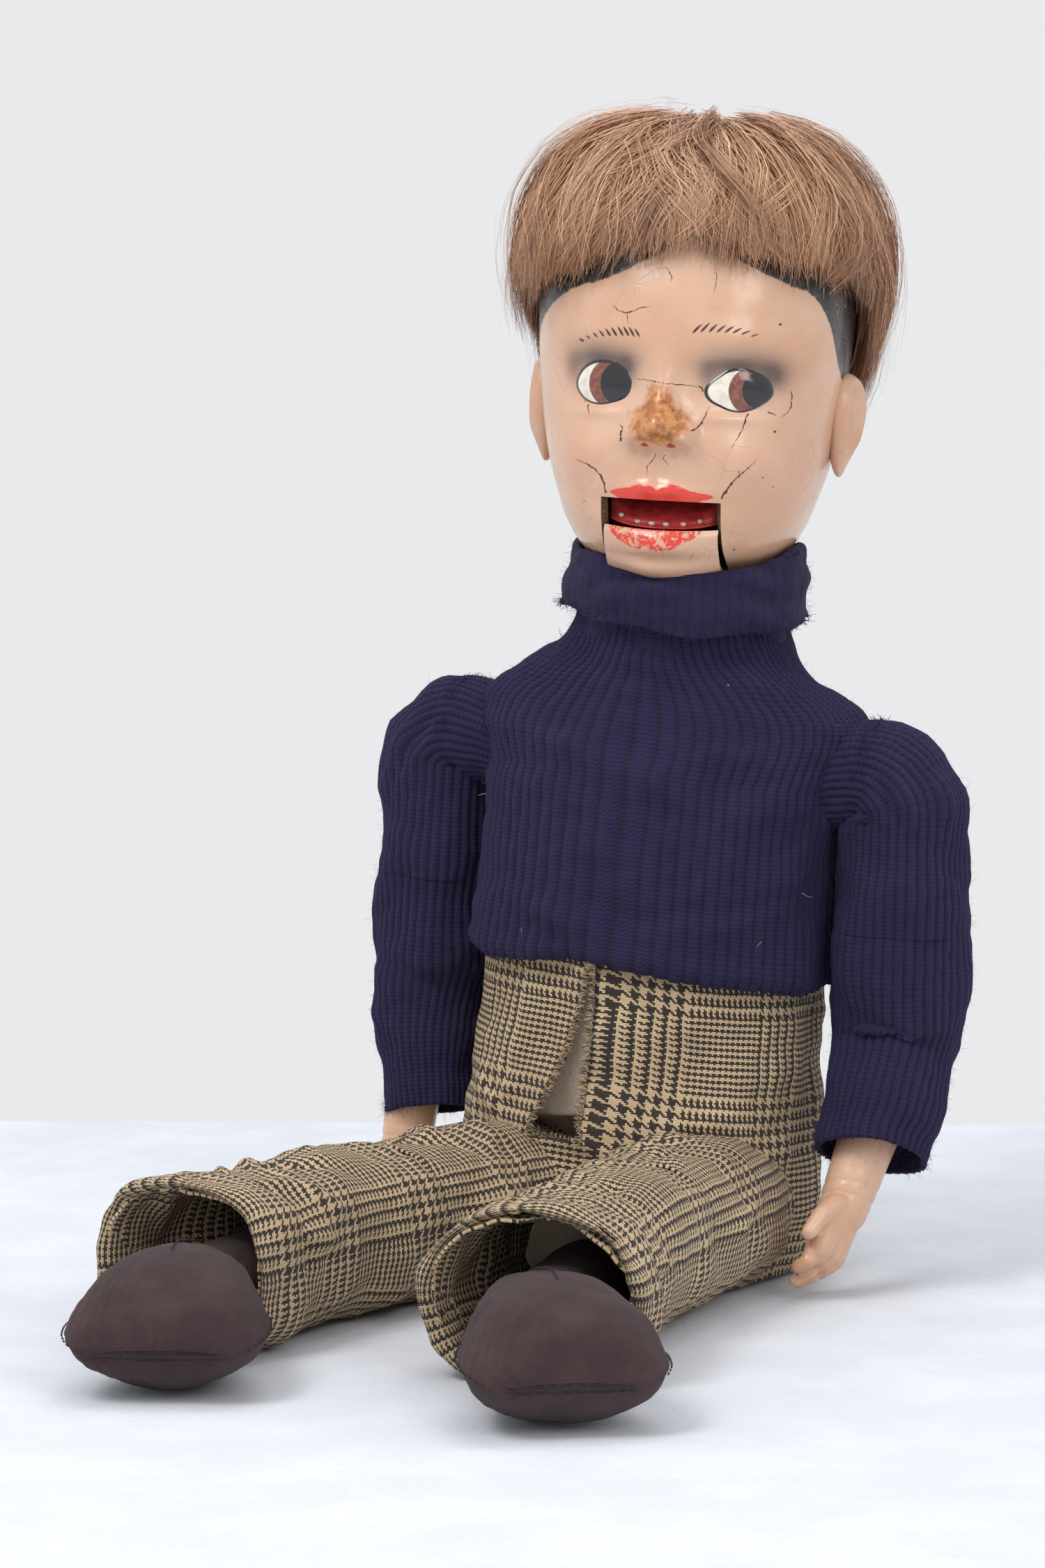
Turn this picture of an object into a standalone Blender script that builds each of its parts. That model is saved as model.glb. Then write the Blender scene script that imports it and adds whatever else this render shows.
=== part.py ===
"""A seated ventriloquist dummy: composition head with a slot jaw, stuffed cloth body, knitted
sweater and checked trousers.

Metres, +Z up. The dummy faces -Y and its left side is +X. The origin is the middle of the seat,
on the surface it sits on. Each moving piece hangs from an empty that sits on its joint's axis.
"""

import math

import bmesh
import bpy
from mathutils import Matrix, Vector

MM = 0.001

# ---------------------------------------------------------------- driving dimensions
GAP = 0.4 * MM  # between two pieces that touch
MOVE_GAP = 1.2 * MM  # between two pieces that move past each other

TORSO_HEIGHT = 236 * MM
TORSO_HALF_WIDTH = 65 * MM
TORSO_HALF_DEPTH = 43 * MM
LEAN = math.radians(4.5)  # the upper body leans to its left

TROUSER_WALL = 1.6 * MM
TROUSER_WAIST = 134 * MM
FLY_WIDTH = 8 * MM
FLY_TOP = 122 * MM
FLY_FOOT = 66 * MM

SWEATER_WALL = 2.4 * MM
SWEATER_HEM = 119 * MM
ARMHOLE_RADIUS = 14 * MM
COLLAR_RADIUS = 46 * MM
COLLAR_WALL = 4 * MM
COLLAR_TOP = 271 * MM  # at the sides
COLLAR_RISE = 3 * MM  # higher at the back and lower at the front

NECK_PIVOT = 243 * MM  # height of the nod axis
NECK_RADIUS = 15 * MM
NECK_TILT = math.radians(1.5)  # the head is held a little straighter than the body
SWIVEL_HEIGHT = 262 * MM  # height of the seat that the head turns on
PEG_RADIUS = 6 * MM
PEG_LENGTH = 26 * MM

HEAD_TURN = math.radians(10)
HEAD_HEIGHT = 183 * MM  # swivel to crown
HEAD_HALF_WIDTH = 62 * MM
HEAD_FRONT = 61 * MM
HEAD_BACK = 71 * MM
HEAD_WALL = 4 * MM
SEAM_Y = 14 * MM  # plane where the face shell meets the back shell
EAR_HEIGHT = 78 * MM
EAR_LENGTH = 41 * MM
MOUTH_HEIGHT = 48 * MM
WIG_THICKNESS = 13 * MM
HAIRLINE_FRONT = 138 * MM
HAIRLINE_BACK = 72 * MM

JAW_WIDTH = 45 * MM
JAW_CLEARANCE = 1 * MM
JAW_DEPTH = 27 * MM
JAW_OPEN = math.radians(10.5)
JAW_CHEEK = 3 * MM
TONGUE_RISE = 8 * MM
PIVOT_Y = 2 * MM
PIVOT_HEIGHT = 54 * MM
PIVOT_RADIUS = 1.6 * MM
LEVER_REACH = 30 * MM

UPPER_ARM = 106 * MM
FOREARM = 108 * MM  # elbow to fingertips
ARM_RADIUS = 17 * MM
ARM_ROOT_RADIUS = 10 * MM  # the gathered root sewn to the body
FOREARM_RADIUS = 14.5 * MM
WRIST_RADIUS = 11 * MM
HAND_HALF_WIDTH = 13.5 * MM
SLEEVE_WALL = 2 * MM
SLEEVE_ROOM = 4 * MM  # between arm and sleeve
SLEEVE_CUFF = 52 * MM  # elbow to cuff edge
ARM_OUT = {"l": math.radians(3), "r": math.radians(-0.3)}
ELBOW_REST = {"l": math.radians(27), "r": math.radians(12)}
ELBOW_TURN = {"l": math.radians(4), "r": math.radians(12)}  # the hand folds inwards
FOREARM_LEAN = {"l": math.radians(11), "r": 0.0}  # the forearm is cast with an inward slant
ELBOW_MITRE = math.radians(45)
SHOULDER_DROP = 24 * MM  # shoulder axis below the top of the torso

LEG_SPLAY = {"l": math.radians(4), "r": math.radians(13)}
HIP_SPACING = 84 * MM
HIP_Y = -44 * MM
HIP_RADIUS = 31 * MM  # trousered thigh at the hip
HIP_HALF_WIDTH = 35.5 * MM
KNEE_HALF_WIDTH = 32 * MM
THIGH = 118 * MM
SHIN = 84 * MM  # knee to ankle
FOOT_LENGTH = 80 * MM
FOOT_HALF_WIDTH = 33.5 * MM
FOOT_HEIGHT = 48 * MM
FOOT_TURN = {"l": math.radians(28), "r": math.radians(32)}  # both feet point a little left
ANKLE_SHIFT = {"l": 6 * MM, "r": 14 * MM}  # the legs lie to the left inside the trousers
SHIN_RADIUS = 19 * MM
LEG_ROOM = 1.5 * MM  # between stuffed thigh and trousers
CUFF_HALF_WIDTH = 37.5 * MM
CUFF_HEIGHT = 60 * MM
CUFF_REACH = 71 * MM  # knee to trouser hem
KNEE_MITRE = math.radians(43)

# ---------------------------------------------------------------- shapes as shares of the sizes
# (height, half width, half depth)
TORSO_ROWS = (
    (-0.03, 0.98, 1.00),
    (0.10, 1.06, 1.05),
    (0.28, 1.03, 1.04),
    (0.50, 1.00, 1.00),
    (0.72, 1.02, 1.00),
    (0.86, 1.02, 0.95),
    (0.935, 0.95, 0.82),
    (0.975, 0.76, 0.66),
    (1.00, 0.50, 0.52),
)
# (height, half width, front depth, back depth)
HEAD_ROWS = (
    (-0.05, 0.38, 0.33, 0.37),
    (0.03, 0.38, 0.33, 0.37),
    (0.08, 0.43, 0.40, 0.43),
    (0.12, 0.56, 0.64, 0.54),
    (0.155, 0.66, 0.82, 0.62),
    (0.20, 0.745, 0.91, 0.70),
    (0.265, 0.82, 0.955, 0.79),
    (0.33, 0.88, 0.975, 0.86),
    (0.41, 0.93, 0.985, 0.93),
    (0.50, 0.965, 0.985, 0.97),
    (0.60, 0.99, 1.00, 1.00),
    (0.70, 1.00, 0.97, 0.99),
    (0.79, 0.945, 0.87, 0.93),
    (0.87, 0.82, 0.70, 0.80),
    (0.94, 0.61, 0.46, 0.60),
    (0.98, 0.36, 0.23, 0.34),
    (1.00, 0.10, 0.02, 0.10),
)
# (x, height, how proud, half width, half height), all in millimetres
FACE_FORMS = (
    (0, 76, 12.5, 7.5, 8),
    (0, 90, 4, 6, 10),
    (9, 70, 4, 5, 5),
    (28, 91, -3, 12, 9),
    (28, 91, 4, 9, 7),
    (26, 110, 1.5, 16, 6),
    (30, 63, 3, 13, 11),
    (0, 52, 2.5, 17, 4),
    (0, 30, 3.5, 12, 9),
)
PALM_FORMS = (  # (along the hand, across, thickness) half sizes as shares of the hand
    (0.10, 0.62, 0.80),
    (0.30, 0.95, 1.00),
    (0.55, 1.00, 0.95),
    (0.72, 0.86, 0.80),
)

COLOURS = {
    "composition": ((0.80, 0.57, 0.44), 0.32, 0.0),
    "red_paint": ((0.62, 0.07, 0.06), 0.35, 0.0),
    "torso_cotton": ((0.55, 0.46, 0.38), 0.9, 0.0),
    "navy_knit": ((0.045, 0.03, 0.12), 0.95, 0.0),
    "check_cloth": ((0.42, 0.34, 0.24), 0.9, 0.0),
    "brown_cotton": ((0.13, 0.075, 0.08), 0.75, 0.0),
    "wig_hair": ((0.55, 0.33, 0.21), 0.45, 0.0),
    "wood": ((0.60, 0.42, 0.25), 0.6, 0.0),
    "steel_wire": ((0.55, 0.55, 0.56), 0.35, 1.0),
    "brass": ((0.70, 0.52, 0.24), 0.35, 1.0),
    "cord": ((0.62, 0.56, 0.45), 0.9, 0.0),
}


# ---------------------------------------------------------------- building helpers
def material(slot):
    """The Principled material of one finish, made once."""
    found = bpy.data.materials.get(slot)
    if found:
        return found
    colour, roughness, metallic = COLOURS[slot]
    made = bpy.data.materials.new(slot)
    made.use_nodes = True
    shader = made.node_tree.nodes["Principled BSDF"]
    shader.inputs["Base Color"].default_value = (*colour, 1)
    shader.inputs["Roughness"].default_value = roughness
    shader.inputs["Metallic"].default_value = metallic
    return made


def empty(name, parent=None, location=(0, 0, 0), rotation=(0, 0, 0)):
    made = bpy.data.objects.new(name, None)
    bpy.context.scene.collection.objects.link(made)
    made.parent = parent
    made.location = location
    made.rotation_euler = rotation
    return made


def node(name, bm, slot, parent=None):
    """Turns a bmesh into a named, smooth-shaded object in its parent's frame."""
    bmesh.ops.recalc_face_normals(bm, faces=bm.faces)
    mesh = bpy.data.meshes.new(name)
    bm.to_mesh(mesh)
    bm.free()
    mesh.materials.append(material(slot))
    mesh.shade_smooth()
    mesh.set_sharp_from_angle(angle=math.radians(40))
    made = bpy.data.objects.new(name, mesh)
    bpy.context.scene.collection.objects.link(made)
    made.parent = parent
    return made


def cutter(name, bm, parent=None):
    """A helper for a Boolean: hidden from the render and drawn as a wire."""
    made = node(name, bm, "wood", parent)
    made.hide_render = True
    made.display_type = "WIRE"
    return made


def boolean(target, other, operation):
    modifier = target.modifiers.new(other.name, "BOOLEAN")
    modifier.operation = operation
    modifier.object = other
    modifier.solver = "EXACT"


def ring(centre, across, up, half_width, high, low, count=20, power=2.0, crowd=0.0):
    """Points round a superellipse. across and up span its plane, and high and low are its half
    heights on each side of the centre. crowd moves points from the high side to the low side."""
    points = []
    for i in range(count):
        turn = i / count
        turn -= crowd * math.sin(2 * math.pi * (turn - 0.75))
        c, s = math.cos(2 * math.pi * turn), math.sin(2 * math.pi * turn)
        x = math.copysign(abs(c) ** (2 / power), c) * half_width
        y = math.copysign(abs(s) ** (2 / power), s) * (high if s > 0 else low)
        points.append(Vector(centre) + Vector(across) * x + Vector(up) * y)
    return points


def skin(bm, rings, cap_first=True, cap_last=True, loop=False):
    """Joins rings of equal count into a surface, with flat caps or closed into a loop."""
    made = [[bm.verts.new(p) for p in points] for points in rings]
    pairs = list(zip(made, made[1:]))
    if loop:
        pairs.append((made[-1], made[0]))
    for a, b in pairs:
        for i in range(len(a)):
            j = (i + 1) % len(a)
            bm.faces.new((a[i], a[j], b[j], b[i]))
    if cap_first and not loop:
        bm.faces.new(reversed(made[0]))
    if cap_last and not loop:
        bm.faces.new(made[-1])
    return bm


def solid(rings):
    return skin(bmesh.new(), rings)


def tube_wall(outer, inner):
    """A wall between two sets of rings, open at both ends."""
    return skin(bmesh.new(), list(outer) + list(reversed(inner)), loop=True)


def cup_wall(outer, inner):
    """A wall between two sets of rings, closed at the first end."""
    return skin(bmesh.new(), list(outer) + list(reversed(inner)))


def box(low, high):
    bm = bmesh.new()
    size = Vector(high) - Vector(low)
    middle = (Vector(high) + Vector(low)) / 2
    bmesh.ops.create_cube(bm, size=1, matrix=Matrix.Translation(middle) @ Matrix.Diagonal((*size, 1)))
    return bm


def rod(start, end, radius, sides=12):
    """A plain cylinder between two points."""
    start, end = Vector(start), Vector(end)
    line = end - start
    turn = line.to_track_quat("Z", "Y").to_matrix().to_4x4()
    place = Matrix.Translation((start + end) / 2) @ turn
    bm = bmesh.new()
    bmesh.ops.create_cone(
        bm, cap_ends=True, segments=sides, radius1=radius, radius2=radius, depth=line.length, matrix=place
    )
    return bm


def washer(centre, axis, outer, inner, thickness, sides=20):
    """A ring of rectangular section about an axis."""
    axis = Vector(axis).normalized()
    across = axis.orthogonal().normalized()
    up = axis.cross(across)
    ends = [Vector(centre) - axis * thickness / 2, Vector(centre) + axis * thickness / 2]
    wide = [ring(p, across, up, outer, outer, outer, sides) for p in ends]
    narrow = [ring(p, across, up, inner, inner, inner, sides) for p in ends]
    return tube_wall(wide, narrow)


def torus(centre, axis, radius, wire, sides=20, facets=6):
    axis = Vector(axis).normalized()
    across = axis.orthogonal().normalized()
    up = axis.cross(across)
    rings = []
    for i in range(sides):
        angle = 2 * math.pi * i / sides
        out = across * math.cos(angle) + up * math.sin(angle)
        rings.append(ring(Vector(centre) + out * radius, out, axis, wire, wire, wire, facets))
    return skin(bmesh.new(), rings, loop=True)


def smooth_rows(rows, steps):
    """Catmull-Rom rows between the given ones, with this many steps in each interval."""
    found = []
    last = len(rows) - 1
    for i in range(last):
        before, a, b, after = rows[max(i - 1, 0)], rows[i], rows[i + 1], rows[min(i + 2, last)]
        for k in range(steps):
            t = k / steps
            found.append(
                tuple(
                    0.5
                    * (
                        2 * q
                        + (r - p) * t
                        + (2 * p - 5 * q + 4 * r - s) * t**2
                        + (3 * q - p - 3 * r + s) * t**3
                    )
                    for p, q, r, s in zip(before, a, b, after)
                )
            )
    found.append(tuple(rows[last]))
    return found


def keep_above(bm, height):
    """Cuts a closed mesh flat at a height and keeps what is above it."""
    geometry = bm.verts[:] + bm.edges[:] + bm.faces[:]
    bmesh.ops.bisect_plane(bm, geom=geometry, plane_co=(0, 0, height), plane_no=(0, 0, -1), clear_outer=True)
    bmesh.ops.holes_fill(bm, edges=[e for e in bm.edges if e.is_boundary], sides=0)
    return bm


# ---------------------------------------------------------------- the joint frames
def joint_frames():
    """Empties on the joint axes. A piece that moves is parented to the empty of its joint."""
    frames = {"upper_body": empty("upper_body", rotation=(0, LEAN, 0))}
    frames["neck"] = empty("neck_joint", frames["upper_body"], (0, 0, NECK_PIVOT), (0, -NECK_TILT, 0))
    frames["head"] = empty(
        "head_joint", frames["neck"], (0, 0, SWIVEL_HEIGHT - NECK_PIVOT), (0, 0, HEAD_TURN)
    )
    frames["jaw"] = empty("jaw_joint", frames["head"], (0, PIVOT_Y, PIVOT_HEIGHT), (JAW_OPEN, 0, 0))
    for side, sign in (("l", 1), ("r", -1)):
        frames["shoulder_" + side] = empty(
            "shoulder_joint_" + side,
            frames["upper_body"],
            (sign * shoulder_x(), 0, TORSO_HEIGHT - SHOULDER_DROP),
            (0, -sign * ARM_OUT[side], sign * LEG_SPLAY[side]),
        )
        frames["elbow_" + side] = empty(
            "elbow_joint_" + side,
            frames["shoulder_" + side],
            (0, 0, -UPPER_ARM),
            (-ELBOW_REST[side], 0, -sign * ELBOW_TURN[side]),
        )
        frames["hip_" + side] = empty(
            "hip_joint_" + side,
            None,
            (sign * HIP_SPACING / 2, HIP_Y, HIP_RADIUS),
            (0, 0, sign * LEG_SPLAY[side]),
        )
        frames["knee_" + side] = empty(
            "knee_joint_" + side, frames["hip_" + side], (0, -THIGH, 0), (0, -sign * LEG_SPLAY[side], 0)
        )
    return frames


def sleeve_radius():
    return ARM_RADIUS + SLEEVE_ROOM + SLEEVE_WALL


def sweater_growth():
    """How far the sweater's outside stands off the stuffed torso."""
    return 2 * GAP + TROUSER_WALL + GAP + SWEATER_WALL


def shoulder_x():
    """The arm clears the sweater's side by a moving gap."""
    side = TORSO_HALF_WIDTH * max(row[1] for row in TORSO_ROWS) + sweater_growth()
    return side + MOVE_GAP + sleeve_radius()


# ---------------------------------------------------------------- body and clothes
def torso_rings(growth, low=None, high=None, count=24):
    """Rings of the torso, grown outwards, between two heights."""
    rings = []
    for height, width, depth in smooth_rows(TORSO_ROWS, 2):
        z = height * TORSO_HEIGHT
        if (low is not None and z <= low) or (high is not None and z >= high):
            continue
        rings.append((z, width, depth))
    if low is not None:
        rings.insert(0, (low, *torso_share(low)))
    if high is not None:
        rings.append((high, *torso_share(high)))
    return [
        ring(
            (0, 0, z + (growth if z > 0.93 * TORSO_HEIGHT else 0)),
            (1, 0, 0),
            (0, 1, 0),
            TORSO_HALF_WIDTH * width + growth,
            TORSO_HALF_DEPTH * depth + growth,
            TORSO_HALF_DEPTH * depth + growth,
            count,
            2.5,
        )
        for z, width, depth in rings
    ]


def torso_share(z):
    """Half width and half depth shares at a height."""
    rows = smooth_rows(TORSO_ROWS, 2)
    for a, b in zip(rows, rows[1:]):
        if z <= b[0] * TORSO_HEIGHT:
            t = (z / TORSO_HEIGHT - a[0]) / (b[0] - a[0])
            return tuple(a[k] + (b[k] - a[k]) * t for k in (1, 2))
    return rows[-1][1:]


def leaning(bm):
    bm.transform(Matrix.Rotation(LEAN, 4, "Y"))
    return bm


def hip_cut(name, radius):
    """Two cutters along the hip axes that hollow the body for the tops of the thighs. Each is a
    half round over the axis that goes straight on down, so that the legs can hang."""
    cutters = []
    for side, sign in (("l", 1), ("r", -1)):
        splay = LEG_SPLAY[side]
        outward = Vector((sign * math.cos(splay), math.sin(splay), 0))
        back = Vector((-sign * math.sin(splay), math.cos(splay), 0))
        hip = Vector((sign * HIP_SPACING / 2, HIP_Y, HIP_RADIUS))
        rings = []
        for along in (-(HIP_SPACING / 2 + 16 * MM), TORSO_HALF_WIDTH):
            middle = hip + outward * along
            points = [middle + back * y * radius - Vector((0, 0, 2 * HIP_RADIUS)) for y in (-1, 1)]
            for i in range(13):
                angle = math.pi * i / 12
                up = Vector((0, 0, radius * math.sin(angle)))
                points.append(middle + back * radius * math.cos(angle) + up)
            rings.append(points)
        cutters.append(cutter(name + side, solid(rings)))
    return cutters


def make_torso():
    growth = 0
    floor = GAP + TROUSER_WALL
    torso = node("torso", keep_above(leaning(solid(torso_rings(growth))), floor), "torso_cotton")
    for bar in hip_cut("torso_hip_", HIP_RADIUS + MOVE_GAP + TROUSER_WALL + GAP):
        boolean(torso, bar, "DIFFERENCE")


def make_trouser_seat():
    inner_growth = GAP
    outer_growth = GAP + TROUSER_WALL
    low = -0.02 * TORSO_HEIGHT
    inside = cutter(
        "seat_inside",
        keep_above(leaning(solid(torso_rings(inner_growth, low, TROUSER_WAIST + 5 * MM))), TROUSER_WALL),
    )
    for bar in hip_cut("seat_inside_hip_", HIP_RADIUS + MOVE_GAP + TROUSER_WALL):
        boolean(inside, bar, "DIFFERENCE")
    seat = node(
        "trouser_seat",
        keep_above(leaning(solid(torso_rings(outer_growth, low, TROUSER_WAIST))), 0),
        "check_cloth",
    )
    for bar in hip_cut("seat_hip_", HIP_RADIUS + MOVE_GAP):
        boolean(seat, bar, "DIFFERENCE")
    boolean(seat, inside, "DIFFERENCE")
    fly = cutter("fly_cut", fly_wedge())
    boolean(seat, fly, "DIFFERENCE")


def fly_wedge():
    """The torn fly: a slit that is widest near its foot."""
    x = -TORSO_HALF_WIDTH * 0.20
    bm = bmesh.new()
    outline = (
        (x + 0.3 * FLY_WIDTH, FLY_TOP),
        (x - 0.1 * FLY_WIDTH, FLY_TOP),
        (x - 0.9 * FLY_WIDTH, FLY_FOOT),
        (x + 0.1 * FLY_WIDTH, FLY_FOOT),
    )
    depths = (-2 * TORSO_HALF_DEPTH, -0.5 * TORSO_HALF_DEPTH)
    rings = [[Vector((px, y, pz)) for px, pz in outline] for y in depths]
    return skin(bm, rings)


def make_sweater():
    start = 2 * GAP + TROUSER_WALL + GAP
    top = 0.985 * TORSO_HEIGHT
    wall = tube_wall(
        torso_rings(start + SWEATER_WALL, SWEATER_HEM, top), torso_rings(start, SWEATER_HEM, top)
    )
    sweater = node("sweater_body", wall, "navy_knit", bpy.data.objects["upper_body"])
    armhole_z = TORSO_HEIGHT - SHOULDER_DROP
    for side, sign in (("l", 1), ("r", -1)):
        start_x = sign * 0.6 * TORSO_HALF_WIDTH
        bm = rod((start_x, 0, armhole_z), (sign * 2 * TORSO_HALF_WIDTH, 0, armhole_z), ARMHOLE_RADIUS, 20)
        hole = cutter("armhole_" + side, bm, bpy.data.objects["upper_body"])
        boolean(sweater, hole, "DIFFERENCE")


def make_collar():
    """The folded turtleneck: a doubled tube that flares a little to its top edge."""
    foot = TORSO_HEIGHT + sweater_growth() - 2 * MM
    rows = ((foot, 0.84, 0), (foot + 0.35 * (COLLAR_TOP - foot), 0.93, 0.4), (COLLAR_TOP, 1.0, 1.0))
    outer = [tilted(circle(z, COLLAR_RADIUS * share), tilt) for z, share, tilt in rows]
    inner = [tilted(circle(z, COLLAR_RADIUS * share - COLLAR_WALL), tilt) for z, share, tilt in rows]
    node("sweater_collar", tube_wall(outer, inner), "navy_knit", bpy.data.objects["upper_body"])


def tilted(points, share):
    for p in points:
        p.z += share * COLLAR_RISE * p.y / COLLAR_RADIUS
    return points


def circle(z, radius, count=24):
    return ring((0, 0, z), (1, 0, 0), (0, 1, 0), radius, radius, radius, count)


# ---------------------------------------------------------------- neck
def make_neck(frames):
    """Everything that nods: stuffed cloth neck, swivel disc and peg, in the neck joint's frame."""
    top = SWIVEL_HEIGHT - NECK_PIVOT - 3 * MM
    foot = TORSO_HEIGHT - NECK_PIVOT + 1.5 * MM
    rounding = ((foot, 0.45), (foot + 1.5 * MM, 0.75), (foot + 5 * MM, 0.95), (0.4 * top, 1), (top - GAP, 1))
    rings = [circle(z, NECK_RADIUS * share, 16) for z, share in rounding]
    node("cloth_neck", solid(rings), "torso_cotton", frames["neck"])
    disc = rod((0, 0, top), (0, 0, top + 3 * MM - GAP), NECK_RADIUS, 20)
    node("swivel_disc", disc, "wood", frames["neck"])
    peg_foot = SWIVEL_HEIGHT - NECK_PIVOT
    peg = rod((0, 0, peg_foot), (0, 0, peg_foot + PEG_LENGTH), PEG_RADIUS)
    node("swivel_peg", peg, "wood", frames["neck"])


def make_head_bush(frames):
    """The disc glued in the head's neck, bored for the peg, and the pin that keeps it on."""
    inside = HEAD_HALF_WIDTH * HEAD_ROWS[1][1] - HEAD_WALL - 2 * GAP
    inside = min(inside, HEAD_FRONT * HEAD_ROWS[1][2] - HEAD_WALL - 2 * GAP)
    thickness = 7 * MM
    bush = washer((0, 0, MOVE_GAP + thickness / 2), (0, 0, 1), inside, PEG_RADIUS + GAP, thickness)
    node("neck_bush", bush, "wood", frames["head"])
    washer_z = MOVE_GAP + thickness + 2 * MM
    ring_bm = washer((0, 0, washer_z), (0, 0, 1), PEG_RADIUS + 5 * MM, PEG_RADIUS + GAP, 1 * MM, 16)
    node("peg_washer", ring_bm, "steel_wire", frames["neck_top"])
    row = HEAD_ROWS[0]
    off = 1.3 * MM
    path = ring(
        (0, 0, -0.02 * HEAD_HEIGHT),
        (1, 0, 0),
        (0, 1, 0),
        HEAD_HALF_WIDTH * row[1] + off,
        HEAD_BACK * row[3] + off,
        HEAD_FRONT * row[2] + off,
        28,
        2.15,
    )
    node("neck_draw_cord", loop_wire(path, 0.8 * MM), "cord", frames["head"])


def loop_wire(points, radius, facets=6):
    """A round wire along a closed level loop."""
    rings = []
    for i, p in enumerate(points):
        along = (points[(i + 1) % len(points)] - points[i - 1]).normalized()
        rings.append(ring(p, along.cross(Vector((0, 0, 1))), (0, 0, 1), radius, radius, radius, facets))
    return skin(bmesh.new(), rings, loop=True)


# ---------------------------------------------------------------- head
def face_form(x, z):
    """How far the modelled face stands proud of the plain head at a point, in metres."""
    proud = 0
    for cx, cz, height, half_width, half_height in FACE_FORMS:
        for side in (1, -1) if cx else (1,):
            u = (x / MM - side * cx) / half_width
            v = (z / MM - cz) / half_height
            proud += height * MM * math.exp(-(u * u + v * v))
    return proud


def head_rings(growth=0.0, count=40):
    """Rings of the head's outside, grown outwards by a distance."""
    rings = []
    rows = smooth_rows(HEAD_ROWS, 2)
    crown = rows[-1][0]
    for height, width, front, back in rows:
        z = height * HEAD_HEIGHT
        lift = growth * max(0, (height - 0.5) / (crown - 0.5)) ** 2
        points = ring(
            (0, 0, z + lift),
            (1, 0, 0),
            (0, 1, 0),
            HEAD_HALF_WIDTH * width + growth,
            HEAD_BACK * back + growth,
            HEAD_FRONT * front + growth,
            count,
            2.15,
            crowd=0.07,
        )
        for p in points:
            if p.y < 0:
                p.y -= face_form(p.x, z) * min(1, -p.y / (0.5 * HEAD_FRONT))
        rings.append(points)
    return rings


def drop_faces(bm, unwanted):
    bmesh.ops.delete(bm, geom=[f for f in bm.faces if unwanted(f.calc_center_median())], context="FACES")


def slice_mesh(bm, point, normal):
    geometry = bm.verts[:] + bm.edges[:] + bm.faces[:]
    bmesh.ops.bisect_plane(bm, geom=geometry, plane_co=point, plane_no=normal, dist=1e-6)


def thicken(target, thickness, offset):
    modifier = target.modifiers.new("wall", "SOLIDIFY")
    modifier.thickness = thickness
    modifier.offset = offset
    modifier.use_even_offset = True


def head_hollow():
    """The inside of the head, carried on down through the neck."""
    rings = head_rings(-HEAD_WALL)
    rings.insert(0, [p - Vector((0, 0, 0.1 * HEAD_HEIGHT)) for p in rings[0]])
    return solid(rings)


def half_space(front):
    """A box that holds everything on one side of the seam."""
    reach = 3 * HEAD_HEIGHT
    if front:
        return box((-reach, -reach, -reach), (reach, SEAM_Y - GAP / 2, reach))
    return box((-reach, SEAM_Y + GAP / 2, -reach), (reach, reach, reach))


def make_head_shells(frames):
    head = frames["head"]
    face = node("head_face_shell", solid(head_rings()), "composition", head)
    for side, sign in (("l", 1), ("r", -1)):
        boolean(face, cutter("ear_form_" + side, ear(sign), head), "UNION")
    boolean(face, cutter("face_hollow", head_hollow(), head), "DIFFERENCE")
    boolean(face, cutter("face_half", half_space(True), head), "INTERSECT")
    slot_half = JAW_WIDTH / 2 + JAW_CLEARANCE
    slot_back = -(HEAD_FRONT * HEAD_ROWS[1][2] + 3.5 * MM)
    slot = box((-slot_half, -2 * HEAD_FRONT, -HEAD_HEIGHT), (slot_half, slot_back, MOUTH_HEIGHT))
    boolean(face, cutter("mouth_slot", slot, head), "DIFFERENCE")

    back = node("head_back_shell", solid(head_rings()), "composition", head)
    boolean(back, cutter("back_hollow", head_hollow(), head), "DIFFERENCE")
    boolean(back, cutter("back_half", half_space(False), head), "INTERSECT")
    hole = rod((0, 0, cord_exit_height()), (0, 2 * HEAD_BACK, cord_exit_height()), 2.6 * MM, 14)
    boolean(back, cutter("cord_hole", hole, head), "DIFFERENCE")


def ear(sign):
    """A flat shell-shaped ear that leans back from the side of the face."""
    half = EAR_LENGTH / 2
    rings = []
    for share, reach in ((-1, 2), (-0.8, 8), (-0.3, 12), (0.3, 14), (0.8, 10), (1, 3)):
        z = EAR_HEIGHT + share * half
        middle = SEAM_Y - 1.5 * MM - reach * MM / 2
        depth = reach * MM / 2
        at = (sign * (HEAD_HALF_WIDTH * 0.97 + 0.9 * MM), middle, z)
        rings.append(ring(at, (1, 0, 0), (0, 1, 0), 4.2 * MM, depth, depth, 12))
    return solid(rings)


def cord_exit_height():
    return 34 * MM


def make_cord_eyelet(frames):
    """The brass eyelet that the jaw cord leaves the back of the neck through."""
    z = cord_exit_height()
    y = head_back_at(z)
    bm = washer((0, y - HEAD_WALL / 2, z), (0, 1, 0), 2.6 * MM - 0.3 * MM, 1.4 * MM, HEAD_WALL + 2 * MM, 14)
    node("cord_eyelet", bm, "brass", frames["head"])


def head_back_at(z):
    rows = smooth_rows(HEAD_ROWS, 2)
    for a, b in zip(rows, rows[1:]):
        if z <= b[0] * HEAD_HEIGHT:
            t = (z / HEAD_HEIGHT - a[0]) / (b[0] - a[0])
            return HEAD_BACK * (a[3] + (b[3] - a[3]) * t)
    return 0.0


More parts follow.
